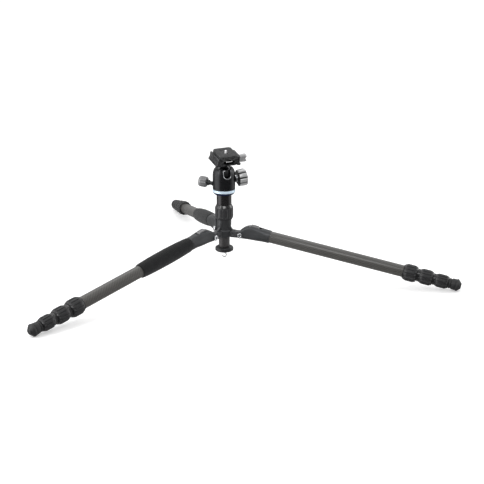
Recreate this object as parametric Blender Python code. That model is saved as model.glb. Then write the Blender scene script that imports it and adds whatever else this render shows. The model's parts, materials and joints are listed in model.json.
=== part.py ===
"""Four-section carbon travel tripod with a ball head, legs collapsed and spread on their widest stop.

Metres, +Z up. The origin is on the floor, in the middle of the footprint. Leg 1 points to the right
(-30 degrees), leg 2 to the back (90 degrees) and leg 3 to the left (210 degrees).
Each leg has a frame with its origin on the fold axis, X out along the leg and Y along the axis.
The head's frames follow its joints: pan, ball, lean of the ball's stem, and turn of the clamp.
"""

import math

import bmesh
import bpy
from mathutils import Vector

MM = 0.001
GAP = 0.3  # between pieces that touch

# Legs, in millimetres along the leg from the fold axis
LEG_ANGLES = (-30, 90, 210)
LEG_SLOPE = math.radians(10.45)  # below the horizontal, on the widest stop
PIVOT_RADIUS = 42.3  # of the three fold axes about the column
TUBE_RISE = 11.7  # of a leg's tube axis above its fold axis
TUBE_RADII = (14.0, 12.5, 11.0, 9.5)
TUBE_WALL = 1.2
TUBE_STARTS = (48.0, 60.0, 62.0, 64.0)
LOCK_STARTS = (397.1, 434.5, 471.2)
LOCK_LENGTH = 31.2
LOCK_RADII = (20.0, 18.0, 16.0)
FERRULE_LENGTH = 22.5  # the threaded end that a twist lock turns on
FERRULE_STEP = 1.4  # how far it stands proud of its tube
NECK_STEP = 1.6  # the visible ring before each lock stands this much prouder again
SLEEVE_RADIUS = 15.8  # of the shoulder around the tube
SHOULDER_END = 71.0
SHOULDER_WIDTH = 26.0
EAR_RADIUS = 8.0
LUG_RADIUS = 7.5
LUG_WIDTH = 16.0
BOLT_RADIUS, BOLT_HEAD_RADIUS = 3.0, 6.4
TAB_START, TAB_END, TAB_TRAVEL = 15.0, 41.0, 5.5
GRIP_START, GRIP_END = 72.0, 228.0
FOOT_START, FOOT_RIM, FOOT_TIP = 506.0, 524.0, 532.0
FOOT_RADIUS = 14.5
FOOT_TIP_RADIUS = 6.0

# Column, in millimetres above the fold axes
COLUMN_RADIUS = 13.25
COLUMN_WALL = 1.65
COLUMN_BORE = 13.65
COLUMN_BOTTOM, COLUMN_TOP = -34.0, 89.7
SPIDER_BOTTOM, NECK_TOP, COLLET_TOP = -8.0, 35.6, 63.8
THREAD_RADIUS, THREAD_TOP = 16.0, 57.1
COLLAR_BOTTOM, COLLAR_TOP, COLLAR_RADIUS = 36.1, 73.0, 22.0
PLATFORM_RADIUS, PLATFORM_BOTTOM, PLATFORM_TOP = 18.0, 73.4, 98.4
FLANGE_RADIUS = 22.0
HOOK_CENTRE, HOOK_RADIUS, HOOK_WIRE = -55.8, 4.9, 1.4

# Ball head, in millimetres; heights above the fold axes
HEAD_YAW = math.radians(5.3)
HEAD_RADIUS = 27.0
BASE_BOTTOM, BASE_TOP = 98.7, 110.3
SPIGOT_RADIUS, SPIGOT_TOP = 9.0, 123.0
HOUSING_BOTTOM, HOUSING_TOP = 110.6, 163.0
CAVITY_FLOOR = 127.8
BALL_HEIGHT, BALL_RADIUS = 149.5, 19.0
SOCKET_RADIUS = 19.6
STEM_RADIUS, STEM_TOP = 7.2, 30.2  # the stem's heights are above the ball's centre
NOTCH_RADIUS = 8.8
HEAD_LEAN = math.radians(13.5)  # of the stem towards the notch
CLAMP_YAW = math.radians(3.7)
MAIN_KNOB_HEIGHT, MAIN_KNOB_RISE = 132.6, math.radians(6)
PAN_KNOB_HEIGHT, PAN_KNOB_RISE, PAN_KNOB_ANGLE = 121.5, math.radians(7), math.radians(142)

# Clamp and plate, in millimetres above the clamp's frame
CLAMP_DROP = 1.5  # of that frame below the ball's centre
CLAMP_BOTTOM, CHANNEL_FLOOR, JAW_TOP = 32.0, 40.0, 50.0
CLAMP_HALF_LENGTH, JAW_HALF_LENGTH = 25.0, 22.0
ROD_HEIGHT, ROD_RADIUS = 36.0, 2.5
PLATE_TOP, PAD_TOP, PLATE_HALF_LENGTH = 55.5, 56.6, 25.0
POCKET_HALF_WIDTH, POCKET_TOP = 14.0, 47.3
SCREW_RADIUS = 3.05
PIN_PLACE = (27.5, -17.0)
RING_HINGE = (-4.0, 42.6)

TUBE_SIDES = 20
HEAD_SIDES = 24
HOLE_SIDES = 12

# Where the feet end: how far from the column, and how far below the fold axes
SLOPE_COS, SLOPE_SIN = math.cos(LEG_SLOPE), math.sin(LEG_SLOPE)
TIP_REACH = PIVOT_RADIUS + FOOT_TIP * SLOPE_COS + (TUBE_RISE + FOOT_TIP_RADIUS) * SLOPE_SIN
RIM_REACH = PIVOT_RADIUS + FOOT_RIM * SLOPE_COS + TUBE_RISE * SLOPE_SIN
PIVOT_HEIGHT = FOOT_RIM * SLOPE_SIN + (FOOT_RADIUS - TUBE_RISE) * SLOPE_COS
COLUMN_Y = -(TIP_REACH - RIM_REACH / 2 - FOOT_RADIUS * math.cos(math.radians(30))) / 2


def clear_scene():
    for obj in list(bpy.data.objects):
        bpy.data.objects.remove(obj)


def material(name, colour, roughness, metallic):
    made = bpy.data.materials.get(name)
    if made:
        return made
    made = bpy.data.materials.new(name)
    made.use_nodes = True
    shader = made.node_tree.nodes["Principled BSDF"]
    shader.inputs["Base Color"].default_value = (*colour, 1)
    shader.inputs["Roughness"].default_value = roughness
    shader.inputs["Metallic"].default_value = metallic
    return made


def carbon():
    return material("carbon", (0.085, 0.083, 0.08), 0.35, 0.0)


def black_metal():
    return material("black_metal", (0.022, 0.022, 0.024), 0.32, 0.6)


def gunmetal():
    return material("gunmetal", (0.075, 0.078, 0.08), 0.38, 0.7)


def titanium():
    return material("titanium", (0.27, 0.27, 0.275), 0.36, 0.9)


def chrome():
    return material("chrome", (0.75, 0.76, 0.78), 0.14, 1.0)


def blue_metal():
    return material("blue_metal", (0.45, 0.6, 0.82), 0.22, 1.0)


def rubber():
    return material("rubber", (0.03, 0.03, 0.031), 0.75, 0.0)


def foam():
    return material("foam", (0.018, 0.018, 0.018), 0.95, 0.0)


def plastic():
    return material("plastic", (0.02, 0.02, 0.02), 0.5, 0.0)


def frame_at(name, parent, location=(0, 0, 0), rotation=(0, 0, 0)):
    """An empty that holds a moving piece's place, in millimetres under its parent."""
    empty = bpy.data.objects.new(name, None)
    bpy.context.scene.collection.objects.link(empty)
    empty.parent = parent
    empty.location = Vector(location) * MM
    empty.rotation_euler = rotation
    return empty


def object_of(name, bm, parent, finish):
    bmesh.ops.remove_doubles(bm, verts=bm.verts, dist=1e-4)
    bmesh.ops.recalc_face_normals(bm, faces=bm.faces)
    bmesh.ops.scale(bm, vec=(MM, MM, MM), verts=bm.verts)
    mesh = bpy.data.meshes.new(name)
    bm.to_mesh(mesh)
    bm.free()
    mesh.shade_smooth()
    mesh.set_sharp_from_angle(angle=math.radians(32))
    obj = bpy.data.objects.new(name, mesh)
    bpy.context.scene.collection.objects.link(obj)
    obj.parent = parent
    if finish:
        mesh.materials.append(finish)
    else:
        obj.hide_render = True
        obj.display_type = "WIRE"
    return obj


def turned(name, profile, parent, finish, sides=TUBE_SIDES):
    """A closed (radius, height) outline turned about Z. It may start and end on the axis."""
    bm = bmesh.new()
    verts = [bm.verts.new((radius, 0, height)) for radius, height in profile]
    on_axis = profile[0][0] == 0 and profile[-1][0] == 0
    after = verts[1:] if on_axis else verts[1:] + verts[:1]
    edges = [bm.edges.new(pair) for pair in zip(verts, after)]
    bmesh.ops.spin(
        bm, geom=verts + edges, cent=(0, 0, 0), axis=(0, 0, 1), angle=math.tau, steps=sides, use_merge=True
    )
    return object_of(name, bm, parent, finish)


def prism(name, outline, low, high, parent, finish, along="Z"):
    """An outline extruded along X, Y or Z. The outline's two coordinates are the other two axes, in order."""
    order = {"X": (2, 0, 1), "Y": (0, 2, 1), "Z": (0, 1, 2)}[along]
    bm = bmesh.new()
    corners = []
    for first, second in outline:
        point = (first, second, low)
        corners.append(bm.verts.new([point[place] for place in order]))
    face = bm.faces.new(corners)
    extruded = bmesh.ops.extrude_face_region(bm, geom=[face])["geom"]
    shift = Vector([(0, 0, high - low)[place] for place in order])
    moved = [item for item in extruded if isinstance(item, bmesh.types.BMVert)]
    bmesh.ops.translate(bm, vec=shift, verts=moved)
    return object_of(name, bm, parent, finish)


def rod_between(name, radius, low, high, parent):
    """A plain hidden cylinder, to join or to cut with."""
    return turned(name, [(0, high), (radius, high), (radius, low), (0, low)], parent, None)


def rectangle(left, bottom, right, top):
    return [(left, bottom), (right, bottom), (right, top), (left, top)]


def arc(centre, radius, start, end, steps):
    """Points on a circle, both ends included; angles in degrees."""
    points = []
    for step in range(steps + 1):
        angle = math.radians(start + (end - start) * step / steps)
        points.append((centre[0] + radius * math.cos(angle), centre[1] + radius * math.sin(angle)))
    return points


def circle(centre, radius, sides=HOLE_SIDES):
    return arc(centre, radius, 0, 360, sides)[:-1]


def fluted(radius, depth, flutes, steps=4):
    """A round outline with scalloped grooves, as on a knob."""
    points = []
    for step in range(flutes * steps):
        angle = math.tau * step / (flutes * steps)
        here = radius - depth * (0.5 - 0.5 * math.cos(flutes * angle)) ** 2
        points.append((here * math.cos(angle), here * math.sin(angle)))
    return points


def boolean(target, tool, operation):
    modifier = target.modifiers.new(tool.name, "BOOLEAN")
    modifier.operation = operation
    modifier.solver = "EXACT"
    modifier.object = tool


def cut(target, *tools):
    for tool in tools:
        boolean(target, tool, "DIFFERENCE")


def join(target, *tools):
    for tool in tools:
        boolean(target, tool, "UNION")


def wire_path(name, points, radius, parent, finish, closed=False):
    """A round wire along points in millimetres."""
    curve = bpy.data.curves.new(name, "CURVE")
    curve.dimensions = "3D"
    curve.bevel_depth = radius * MM
    curve.bevel_resolution = 2
    curve.use_fill_caps = True
    spline = curve.splines.new("POLY")
    spline.points.add(len(points) - 1)
    for place, point in zip(spline.points, points):
        place.co = (*(Vector(point) * MM), 1)
    spline.use_cyclic_u = closed
    curve.materials.append(finish)
    obj = bpy.data.objects.new(name, curve)
    bpy.context.scene.collection.objects.link(obj)
    obj.parent = parent
    return obj


def make_shoulder(label, leg, along):
    """The curved casting between the fold axis and the leg's tube."""
    low, high = TUBE_RISE - 15.2, TUBE_RISE + 15.2
    crown = [(SHOULDER_END - 9, high), (28, high), (15, 25.5), (7, 19.5), (1, 13)]
    outline = [(34, low), (SHOULDER_END - 9, low)] + crown + arc((0, 0), EAR_RADIUS, 140, 290, 8)
    half = SHOULDER_WIDTH / 2
    shoulder = prism(f"shoulder_{label}", outline, -half, half, leg, gunmetal(), "Y")
    tube_start, bore_radius = TUBE_STARTS[0], TUBE_RADII[0] + GAP
    sleeve = rod_between(f"cutter_sleeve_{label}", SLEEVE_RADIUS, tube_start - 5, SHOULDER_END, along)
    bore = rod_between(f"cutter_socket_{label}", bore_radius, tube_start - 0.5, SHOULDER_END + 2, along)
    slot_half = LUG_WIDTH / 2 + GAP
    fork = prism(f"cutter_fork_{label}", rectangle(-12, -12, 10, 40), -slot_half, slot_half, leg, None, "Y")
    track = rectangle(TAB_START - 0.5, 22, TAB_END + TAB_TRAVEL + 0.5, 40)
    track = prism(f"cutter_track_{label}", track, -6.4, 6.4, leg, None, "Y")
    hole = prism(f"cutter_pivot_{label}", circle((0, 0), BOLT_RADIUS + 0.4), -20, 20, leg, None, "Y")
    join(shoulder, sleeve)
    cut(shoulder, bore, fork, track, hole)


def make_angle_tab(label, leg):
    """The sprung catch on top of the shoulder that is pulled out to change the leg's angle."""
    base, top = 22.4, 29.3
    outline = rectangle(TAB_START, base, TAB_END, base + 4.1)[:3]
    outline += [(TAB_END - 4, top), (TAB_START + 8, top), (TAB_START, base + 3.6)]
    prism(f"angle_tab_{label}", outline, -6, 6, leg, titanium(), "Y")


def make_pivot_bolt(label, hinge):
    """The bolt along the fold axis, with a round head at each side."""
    across = frame_at(f"bolt_frame_{label}", hinge, (0, 0, 0), (math.radians(90), 0, 0))
    inner = SHOULDER_WIDTH / 2 + GAP
    outer = inner + 3
    head = [(0, outer), (BOLT_HEAD_RADIUS, outer), (BOLT_HEAD_RADIUS, inner), (BOLT_RADIUS, inner)]
    profile = head + [(radius, -place) for radius, place in reversed(head)]
    turned(f"pivot_bolt_{label}", profile, across, chrome(), HOLE_SIDES)


def tube_profile(section):
    """A leg tube with the neck and the threaded ferrule of its twist lock at its far end."""
    radius = TUBE_RADII[section]
    inside = radius - TUBE_WALL
    start = TUBE_STARTS[section]
    if section == 3:
        end = FOOT_START + 8.7
        return [(inside, end), (radius, end), (radius, start), (inside, start)]
    lock = LOCK_STARTS[section]
    ferrule = radius + FERRULE_STEP
    end = lock + FERRULE_LENGTH
    profile = [(inside, end), (ferrule, end), (ferrule, lock - GAP)]
    if section:
        neck = LOCK_STARTS[section - 1] + LOCK_LENGTH + GAP
        profile += [(ferrule + NECK_STEP, lock - GAP), (ferrule + NECK_STEP, neck), (radius, neck)]
    else:
        profile += [(radius, lock - GAP)]
    return profile + [(radius, start), (inside, start)]


def lock_profile(section):
    """A barrel-shaped twist lock, wide inside over its ferrule and close around the next tube."""
    radius = LOCK_RADII[section]
    start = LOCK_STARTS[section]
    wide = TUBE_RADII[section] + FERRULE_STEP + 0.5
    close = TUBE_RADII[section + 1] + 0.5
    step = start + FERRULE_LENGTH + 0.5
    end = start + LOCK_LENGTH
    return [
        (close, end), (radius - 2.5, end), (radius, end - 6), (radius, start + 6), (radius - 2.5, start),
        (wide, start), (wide, step), (close, step),
    ]


def foot_profile():
    """A flared rubber foot with a socket for the last tube and a conical end."""
    neck = LOCK_STARTS[2] + LOCK_LENGTH + GAP
    socket = TUBE_RADII[3] + GAP
    depth = FOOT_START + 9
    return [
        (0, FOOT_TIP), (FOOT_TIP_RADIUS, FOOT_TIP), (FOOT_RADIUS, FOOT_RIM), (12.4, FOOT_START),
        (12.4, neck), (socket, neck), (socket, depth), (0, depth),
    ]


def make_leg(number, angle, root):
    turn = math.radians(angle)
    place = (PIVOT_RADIUS * math.cos(turn), PIVOT_RADIUS * math.sin(turn), 0)
    hinge = frame_at(f"leg_{number}_hinge", root, place, (0, 0, turn))
    make_pivot_bolt(number, hinge)
    leg = frame_at(f"leg_{number}", hinge, (0, 0, 0), (0, LEG_SLOPE, 0))
    along = frame_at(f"leg_{number}_tube_axis", leg, (0, 0, TUBE_RISE), (0, math.radians(90), 0))
    make_shoulder(number, leg, along)
    make_angle_tab(number, leg)
    for section, name in enumerate(("upper_tube", "tube_2", "tube_3", "tube_4")):
        turned(f"{name}_{number}", tube_profile(section), along, carbon())
    for section in range(3):
        turned(f"twist_lock_{section + 1}_leg_{number}", lock_profile(section), along, rubber())
    turned(f"foot_{number}", foot_profile(), along, rubber())
    if number != 1:
        make_grip(number, along)


def make_grip(number, along):
    """The foam sleeve on the upper tube, a little thicker in the middle."""
    inside = TUBE_RADII[0] + GAP
    middle = (GRIP_START + GRIP_END) / 2
    profile = [
        (inside, GRIP_END), (15.8, GRIP_END), (18.2, GRIP_END - 22), (19, middle), (18.2, GRIP_START + 22),
        (16, GRIP_START), (inside, GRIP_START),
    ]
    turned(f"foam_grip_{number}", profile, along, foam())


def make_spider(root):
    """The apex casting: a neck round the column, and three lugs that carry the fold axes."""
    profile = [
        (COLUMN_BORE, THREAD_TOP), (THREAD_RADIUS, THREAD_TOP), (THREAD_RADIUS, NECK_TOP), (17.6, NECK_TOP),
        (17.2, 20), (15.9, 10), (17.5, 7), (17.5, SPIDER_BOTTOM + 2), (16, SPIDER_BOTTOM),
        (COLUMN_BORE, SPIDER_BOTTOM),
    ]
    spider = turned("spider", profile, root, gunmetal(), HEAD_SIDES)
    half = LUG_WIDTH / 2
    for number, angle in enumerate(LEG_ANGLES, 1):
        turn = frame_at(f"lug_frame_{number}", root, (0, 0, 0), (0, 0, math.radians(angle)))
        outline = [(15, -LUG_RADIUS)] + arc((PIVOT_RADIUS, 0), LUG_RADIUS, -90, 90, 6) + [(15, LUG_RADIUS)]
        lug = prism(f"cutter_lug_{number}", outline, -half, half, turn, None, "Y")
        hole = circle((PIVOT_RADIUS, 0), BOLT_RADIUS + 0.4)
        hole = prism(f"cutter_lug_hole_{number}", hole, -20, 20, turn, None, "Y")
        join(spider, lug)
        cut(spider, hole)


def make_column_lock(root):
    """The twist collar that grips the column, and the split ring that it squeezes."""
    wide, close = THREAD_RADIUS + 0.5, COLUMN_RADIUS + 0.75
    step = COLLET_TOP + GAP
    profile = [
        (close, COLLAR_TOP), (18.6, COLLAR_TOP), (COLLAR_RADIUS - 0.5, COLLAR_TOP - 6),
        (COLLAR_RADIUS, COLLAR_TOP - 8), (COLLAR_RADIUS, COLLAR_BOTTOM + 5), (19.4, COLLAR_BOTTOM),
        (wide, COLLAR_BOTTOM), (wide, step),
        (close, step),
    ]
    turned("column_lock", profile, root, rubber(), HEAD_SIDES)
    collet = rectangle(COLUMN_BORE, THREAD_TOP + GAP, THREAD_RADIUS, COLLET_TOP)
    turned("column_collet", collet, root, plastic(), HEAD_SIDES)


def make_column(column):
    inside = COLUMN_RADIUS - COLUMN_WALL
    tube = rectangle(inside, COLUMN_BOTTOM, COLUMN_RADIUS, COLUMN_TOP)
    turned("column_tube", tube, column, black_metal(), HEAD_SIDES)
    socket, stud, stud_top = COLUMN_RADIUS + 0.35, 4.6, 111.0
    platform = [
        (0, stud_top), (stud, stud_top), (stud, PLATFORM_TOP), (PLATFORM_RADIUS - 0.8, PLATFORM_TOP),
        (PLATFORM_RADIUS, PLATFORM_TOP - 0.8), (PLATFORM_RADIUS, PLATFORM_BOTTOM), (socket, PLATFORM_BOTTOM),
        (socket, COLUMN_TOP + GAP), (0, COLUMN_TOP + GAP),
    ]
    turned("column_platform", platform, column, gunmetal(), HEAD_SIDES)
    top, bottom = COLUMN_BOTTOM - 0.4, COLUMN_BOTTOM - 10
    plug, shaft_hole, rim = inside - GAP, 2.2, FLANGE_RADIUS - 1.5
    flange = [
        (shaft_hole, top + 12), (plug, top + 12), (plug, top), (rim, top), (FLANGE_RADIUS, top - 1.5),
        (FLANGE_RADIUS, bottom + 1.6), (rim, bottom), (shaft_hole, bottom),
    ]
    turned("column_flange", flange, column, black_metal(), HEAD_SIDES)


def make_hook(column):
    """The spring hook under the column: a straight shank, and an open ring that starts and ends below it."""
    hook = frame_at("hook_slide", column)
    shank = [(0, 0, height) for height in (-16, -26, -36, -46)]
    ring = []
    for step in range(14):
        angle = math.radians(90 - 270 * step / 13)
        ring.append((HOOK_RADIUS * math.cos(angle), 0, HOOK_CENTRE + HOOK_RADIUS * math.sin(angle)))
    wire_path("hook", shank + ring, HOOK_WIRE, hook, chrome())


def make_head(column):
    pan = frame_at("head_pan", column, (0, 0, 0), (0, 0, HEAD_YAW))
    stud_hole = 4.9
    base = [
        (0, SPIGOT_TOP), (SPIGOT_RADIUS, SPIGOT_TOP), (SPIGOT_RADIUS, BASE_TOP), (HEAD_RADIUS, BASE_TOP),
        (HEAD_RADIUS, BASE_BOTTOM + 5.2), (23.2, BASE_BOTTOM), (stud_hole, BASE_BOTTOM), (stud_hole, 112),
        (0, 112),
    ]
    turned("base_ring", base, column, blue_metal(), HEAD_SIDES)
    level = math.radians(90)
    main_place = (HEAD_RADIUS, 0, MAIN_KNOB_HEIGHT)
    main_axis = frame_at("main_knob_axis", pan, main_place, (0, level - MAIN_KNOB_RISE, 0))
    side = frame_at("pan_knob_side", pan, (0, 0, 0), (0, 0, PAN_KNOB_ANGLE))
    pan_place = (HEAD_RADIUS, 0, PAN_KNOB_HEIGHT)
    pan_axis = frame_at("pan_knob_axis", side, pan_place, (0, level - PAN_KNOB_RISE, 0))
    make_housing(pan, main_axis, pan_axis)
    make_main_knob(main_axis)
    make_pan_knob(pan_axis)
    centre = frame_at("ball_centre", pan, (0, 0, BALL_HEIGHT))
    make_ball_and_stem(centre)


def make_housing(pan, main_axis, pan_axis):
    """The cylinder that holds the ball, with a notch at one side and a hole for each knob's shaft."""
    bore = SPIGOT_RADIUS + 0.4
    socket = []
    for height in (8.5, 4.5, 0):
        socket.append((math.sqrt(SOCKET_RADIUS**2 - height**2), BALL_HEIGHT + height))
    roof = SPIGOT_TOP + 0.5
    outside = [
        (20.4, HOUSING_TOP), (24.3, HOUSING_TOP - 5.3), (26.4, HOUSING_TOP - 11.8),
        (HEAD_RADIUS, HOUSING_TOP - 18),
        (HEAD_RADIUS, HOUSING_BOTTOM + 2), (HEAD_RADIUS - 1.2, HOUSING_BOTTOM), (bore, HOUSING_BOTTOM),
        (bore, roof), (0, roof),
    ]
    profile = [(0, CAVITY_FLOOR), (SOCKET_RADIUS, CAVITY_FLOOR)] + socket[::-1] + outside
    housing = turned("housing", profile, pan, black_metal(), HEAD_SIDES)
    notch = arc((0, BALL_HEIGHT), NOTCH_RADIUS, 180, 360, 10) + [(NOTCH_RADIUS, 170), (-NOTCH_RADIUS, 170)]
    cut(housing, prism("cutter_notch", notch, -32, -12, pan, None, "Y"))
    cut(housing, prism("cutter_main_hole", circle((0, 0), 4.5), -10, 5, main_axis, None))
    cut(housing, prism("cutter_pan_hole", circle((0, 0), 3.9), -14.5, 5, pan_axis, None))
    cup_radius = SOCKET_RADIUS - GAP
    seat = [(math.sqrt(19.5**2 - depth**2), BALL_HEIGHT - depth) for depth in (14, 16, 18, 18.8)]
    bottom = CAVITY_FLOOR + GAP
    cup = [(cup_radius, seat[0][1])] + seat + [(seat[-1][0], bottom), (cup_radius, bottom)]
    turned("ball_cup", cup, pan, plastic(), HEAD_SIDES)


def make_main_knob(axis):
    """The large locking knob. Its axis rises a little, away from the housing."""
    shaft = [(0, 20), (4.5, 20), (4.5, 7.4), (8.5, 7.4), (8.5, 1.4), (4, 1.4), (4, -6.6), (0, -6.6)]
    turned("main_shaft", shaft, axis, chrome(), HOLE_SIDES)
    knob = prism("main_knob", fluted(21, 2.6, 9), 7.8, 28, axis, titanium())
    cut(knob, prism("cutter_main_knob", circle((0, 0), 4.9), 5, 20.4, axis, None))


def make_pan_knob(axis):
    """The smaller knob that locks panning, on a stepped shaft."""
    shaft = [
        (0, 26), (3, 26), (3, 14.6), (6.8, 14.6), (6.8, 9), (4.6, 9), (4.6, 1.4), (3.4, 1.4),
        (3.4, -14), (0, -14),
    ]
    turned("pan_shaft", shaft, axis, gunmetal(), HOLE_SIDES)
    knob = prism("pan_knob", fluted(13.2, 1.2, 9), 15, 36, axis, titanium())
    cut(knob, prism("cutter_pan_knob", circle((0, 0), 3.4), 12, 26.4, axis, None))


def make_ball_and_stem(centre):
    steps = 10
    half_circle = []
    for step in range(steps + 1):
        angle = math.pi * step / steps
        radius = BALL_RADIUS * math.sin(angle) if 0 < step < steps else 0
        half_circle.append((radius, BALL_RADIUS * math.cos(angle)))
    turned("ball", half_circle, centre, chrome(), HEAD_SIDES)
    lean = frame_at("stem_frame", centre, (0, 0, 0), (HEAD_LEAN, 0, 0))
    seat = BALL_RADIUS + 0.4
    under = [(radius, math.sqrt(seat**2 - radius**2)) for radius in (STEM_RADIUS, 4, 0)]
    disc = [(0, STEM_TOP), (12.5, STEM_TOP), (12.5, STEM_TOP - 2.2), (8.2, STEM_TOP - 2.9)]
    stem = disc + [(STEM_RADIUS, 24)] + under
    turned("ball_stem", stem, lean, black_metal(), HEAD_SIDES)
    clamp = frame_at("clamp_frame", lean, (0, 0, -CLAMP_DROP), (0, 0, CLAMP_YAW))
    make_clamp(clamp)
    make_plate(clamp)


def make_clamp(clamp):
    """The quick-release clamp: a body with the fixed jaw, and a moving jaw on a threaded rod."""
    outline = [
        (-33, CLAMP_BOTTOM), (18, CLAMP_BOTTOM), (18, CHANNEL_FLOOR), (-19.4, CHANNEL_FLOOR), (-19.4, 42.1),
        (-16.1, 45.4), (-16.1, 46.4), (-24.1, 46.4), (-24.1, JAW_TOP), (-28.4, JAW_TOP), (-28.9, 39),
    ]
    body = prism("clamp_body", outline, -CLAMP_HALF_LENGTH, CLAMP_HALF_LENGTH, clamp, black_metal(), "Y")
    bore = circle((0, ROD_HEIGHT), ROD_RADIUS + 0.4)
    cut(body, prism("cutter_rod_bore", bore, -22, 20, clamp, None, "X"))
    scoop = [(-8, CHANNEL_FLOOR + 1), (-8, CHANNEL_FLOOR), (-26, 35), (-26, CHANNEL_FLOOR + 1)]
    cut(body, prism("cutter_scoop", scoop, -POCKET_HALF_WIDTH, POCKET_HALF_WIDTH, clamp, None, "X"))
    outline = [
        (18.4, 33), (31.5, 33), (32.5, 40), (31.5, JAW_TOP), (24.1, JAW_TOP), (24.1, 46.4), (16.1, 46.4),
        (16.1, 45.4), (19.4, 42.1), (19.4, 40.3), (18.4, 40.3),
    ]
    jaw = prism("clamp_jaw", outline, -JAW_HALF_LENGTH, JAW_HALF_LENGTH, clamp, black_metal(), "Y")
    cut(jaw, prism("cutter_jaw_bore", bore, 16, 35, clamp, None, "X"))
    cut(jaw, prism("cutter_pin_bore", circle(PIN_PLACE, 2.3), 30, 42, clamp, None))
    rod_axis = frame_at("clamp_knob_axis", clamp, (0, 0, ROD_HEIGHT), (0, math.radians(90), 0))
    rod = [
        (0, 48), (ROD_RADIUS, 48), (ROD_RADIUS, 34.7), (4.5, 34.7), (4.5, 32.9), (ROD_RADIUS, 32.9),
        (ROD_RADIUS, -18), (0, -18),
    ]
    turned("clamp_rod", rod, rod_axis, chrome(), HOLE_SIDES)
    knob = prism("clamp_knob", fluted(10, 3.2, 2, 12), 35.1, 54, rod_axis, titanium())
    cut(knob, prism("cutter_knob_bore", circle((0, 0), ROD_RADIUS + 0.4), 33, 48.4, rod_axis, None))
    cut(knob, prism("cutter_saddle", circle((0, 54.5), 4.2), -14, 14, rod_axis, None, "Y"))
    pin_axis = frame_at("safety_pin_axis", clamp, (*PIN_PLACE, 0))
    pin = [(0, 41), (1.9, 41), (1.9, 32.6), (5.5, 32.6), (5.5, 29), (0, 29)]
    turned("safety_pin", pin, pin_axis, black_metal(), HOLE_SIDES)


def make_plate(clamp):
    """The quick-release plate with its dovetail, its rubber pad, and the camera screw with a folding ring."""
    half = [(19, 40.5), (19, 42.0), (15.7, 45.3), (15.7, 46.9), (23.5, 46.9), (23.5, 54.5), (22.5, PLATE_TOP)]
    outline = half + [(-across, height) for across, height in reversed(half)]
    ends = (-PLATE_HALF_LENGTH, PLATE_HALF_LENGTH)
    plate = prism("quick_release_plate", outline, *ends, clamp, gunmetal(), "Y")
    pocket = rectangle(-POCKET_HALF_WIDTH, -PLATE_HALF_LENGTH - 1, POCKET_HALF_WIDTH, 14)
    cut(plate, prism("cutter_pocket", pocket, 39, POCKET_TOP, clamp, None))
    slot = arc((0, 5), 3.6, 0, 180, 6) + arc((0, -5), 3.6, 180, 360, 6)
    cut(plate, prism("cutter_slot", slot, 45, 58, clamp, None))
    sheet = rectangle(-21.3, -23.5, 21.3, 23.5)
    pad = prism("plate_pad", sheet, PLATE_TOP + GAP, PAD_TOP, clamp, rubber())
    opening = arc((0, 5), 5.5, 0, 180, 6) + arc((0, -5), 5.5, 180, 360, 6)
    cut(pad, prism("cutter_pad", opening, 54, 58, clamp, None))
    screw = [(0, 60.5), (SCREW_RADIUS, 60.5), (SCREW_RADIUS, 47), (7.5, 47), (7.5, 44.6), (0, 44.6)]
    turned("camera_screw", screw, clamp, chrome(), HOLE_SIDES)
    ring_frame = frame_at("ring_hinge", clamp, (0, *RING_HINGE))
    outline = arc((5, -1), 2.2, 0, 90, 3) + arc((-5, -1), 2.2, 90, 180, 3)
    outline += arc((-5, -17), 3.2, 180, 270, 3) + arc((5, -17), 3.2, 270, 360, 3)
    ring = [(across, along, 0) for across, along in outline]
    wire_path("screw_ring", ring, 1.1, ring_frame, chrome(), closed=True)


def main():
    clear_scene()
    root = frame_at("tripod", None, (0, COLUMN_Y, PIVOT_HEIGHT))
    make_spider(root)
    make_column_lock(root)
    for number, angle in enumerate(LEG_ANGLES, 1):
        make_leg(number, angle, root)
    column = frame_at("column", root)
    make_column(column)
    make_hook(column)
    make_head(column)


main()
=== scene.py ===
"""Looks of the carbon tripod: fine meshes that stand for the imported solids, materials and a plain studio.

Every piece is modelled in millimetres in the frame of the joint it belongs to, and the frames come from the
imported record's joints. Z is the axis of whatever turns, and X points out along a leg.
"""

import json
import math

import bmesh
import bpy
import numpy as np
from mathutils import Matrix, Vector, noise

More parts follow.
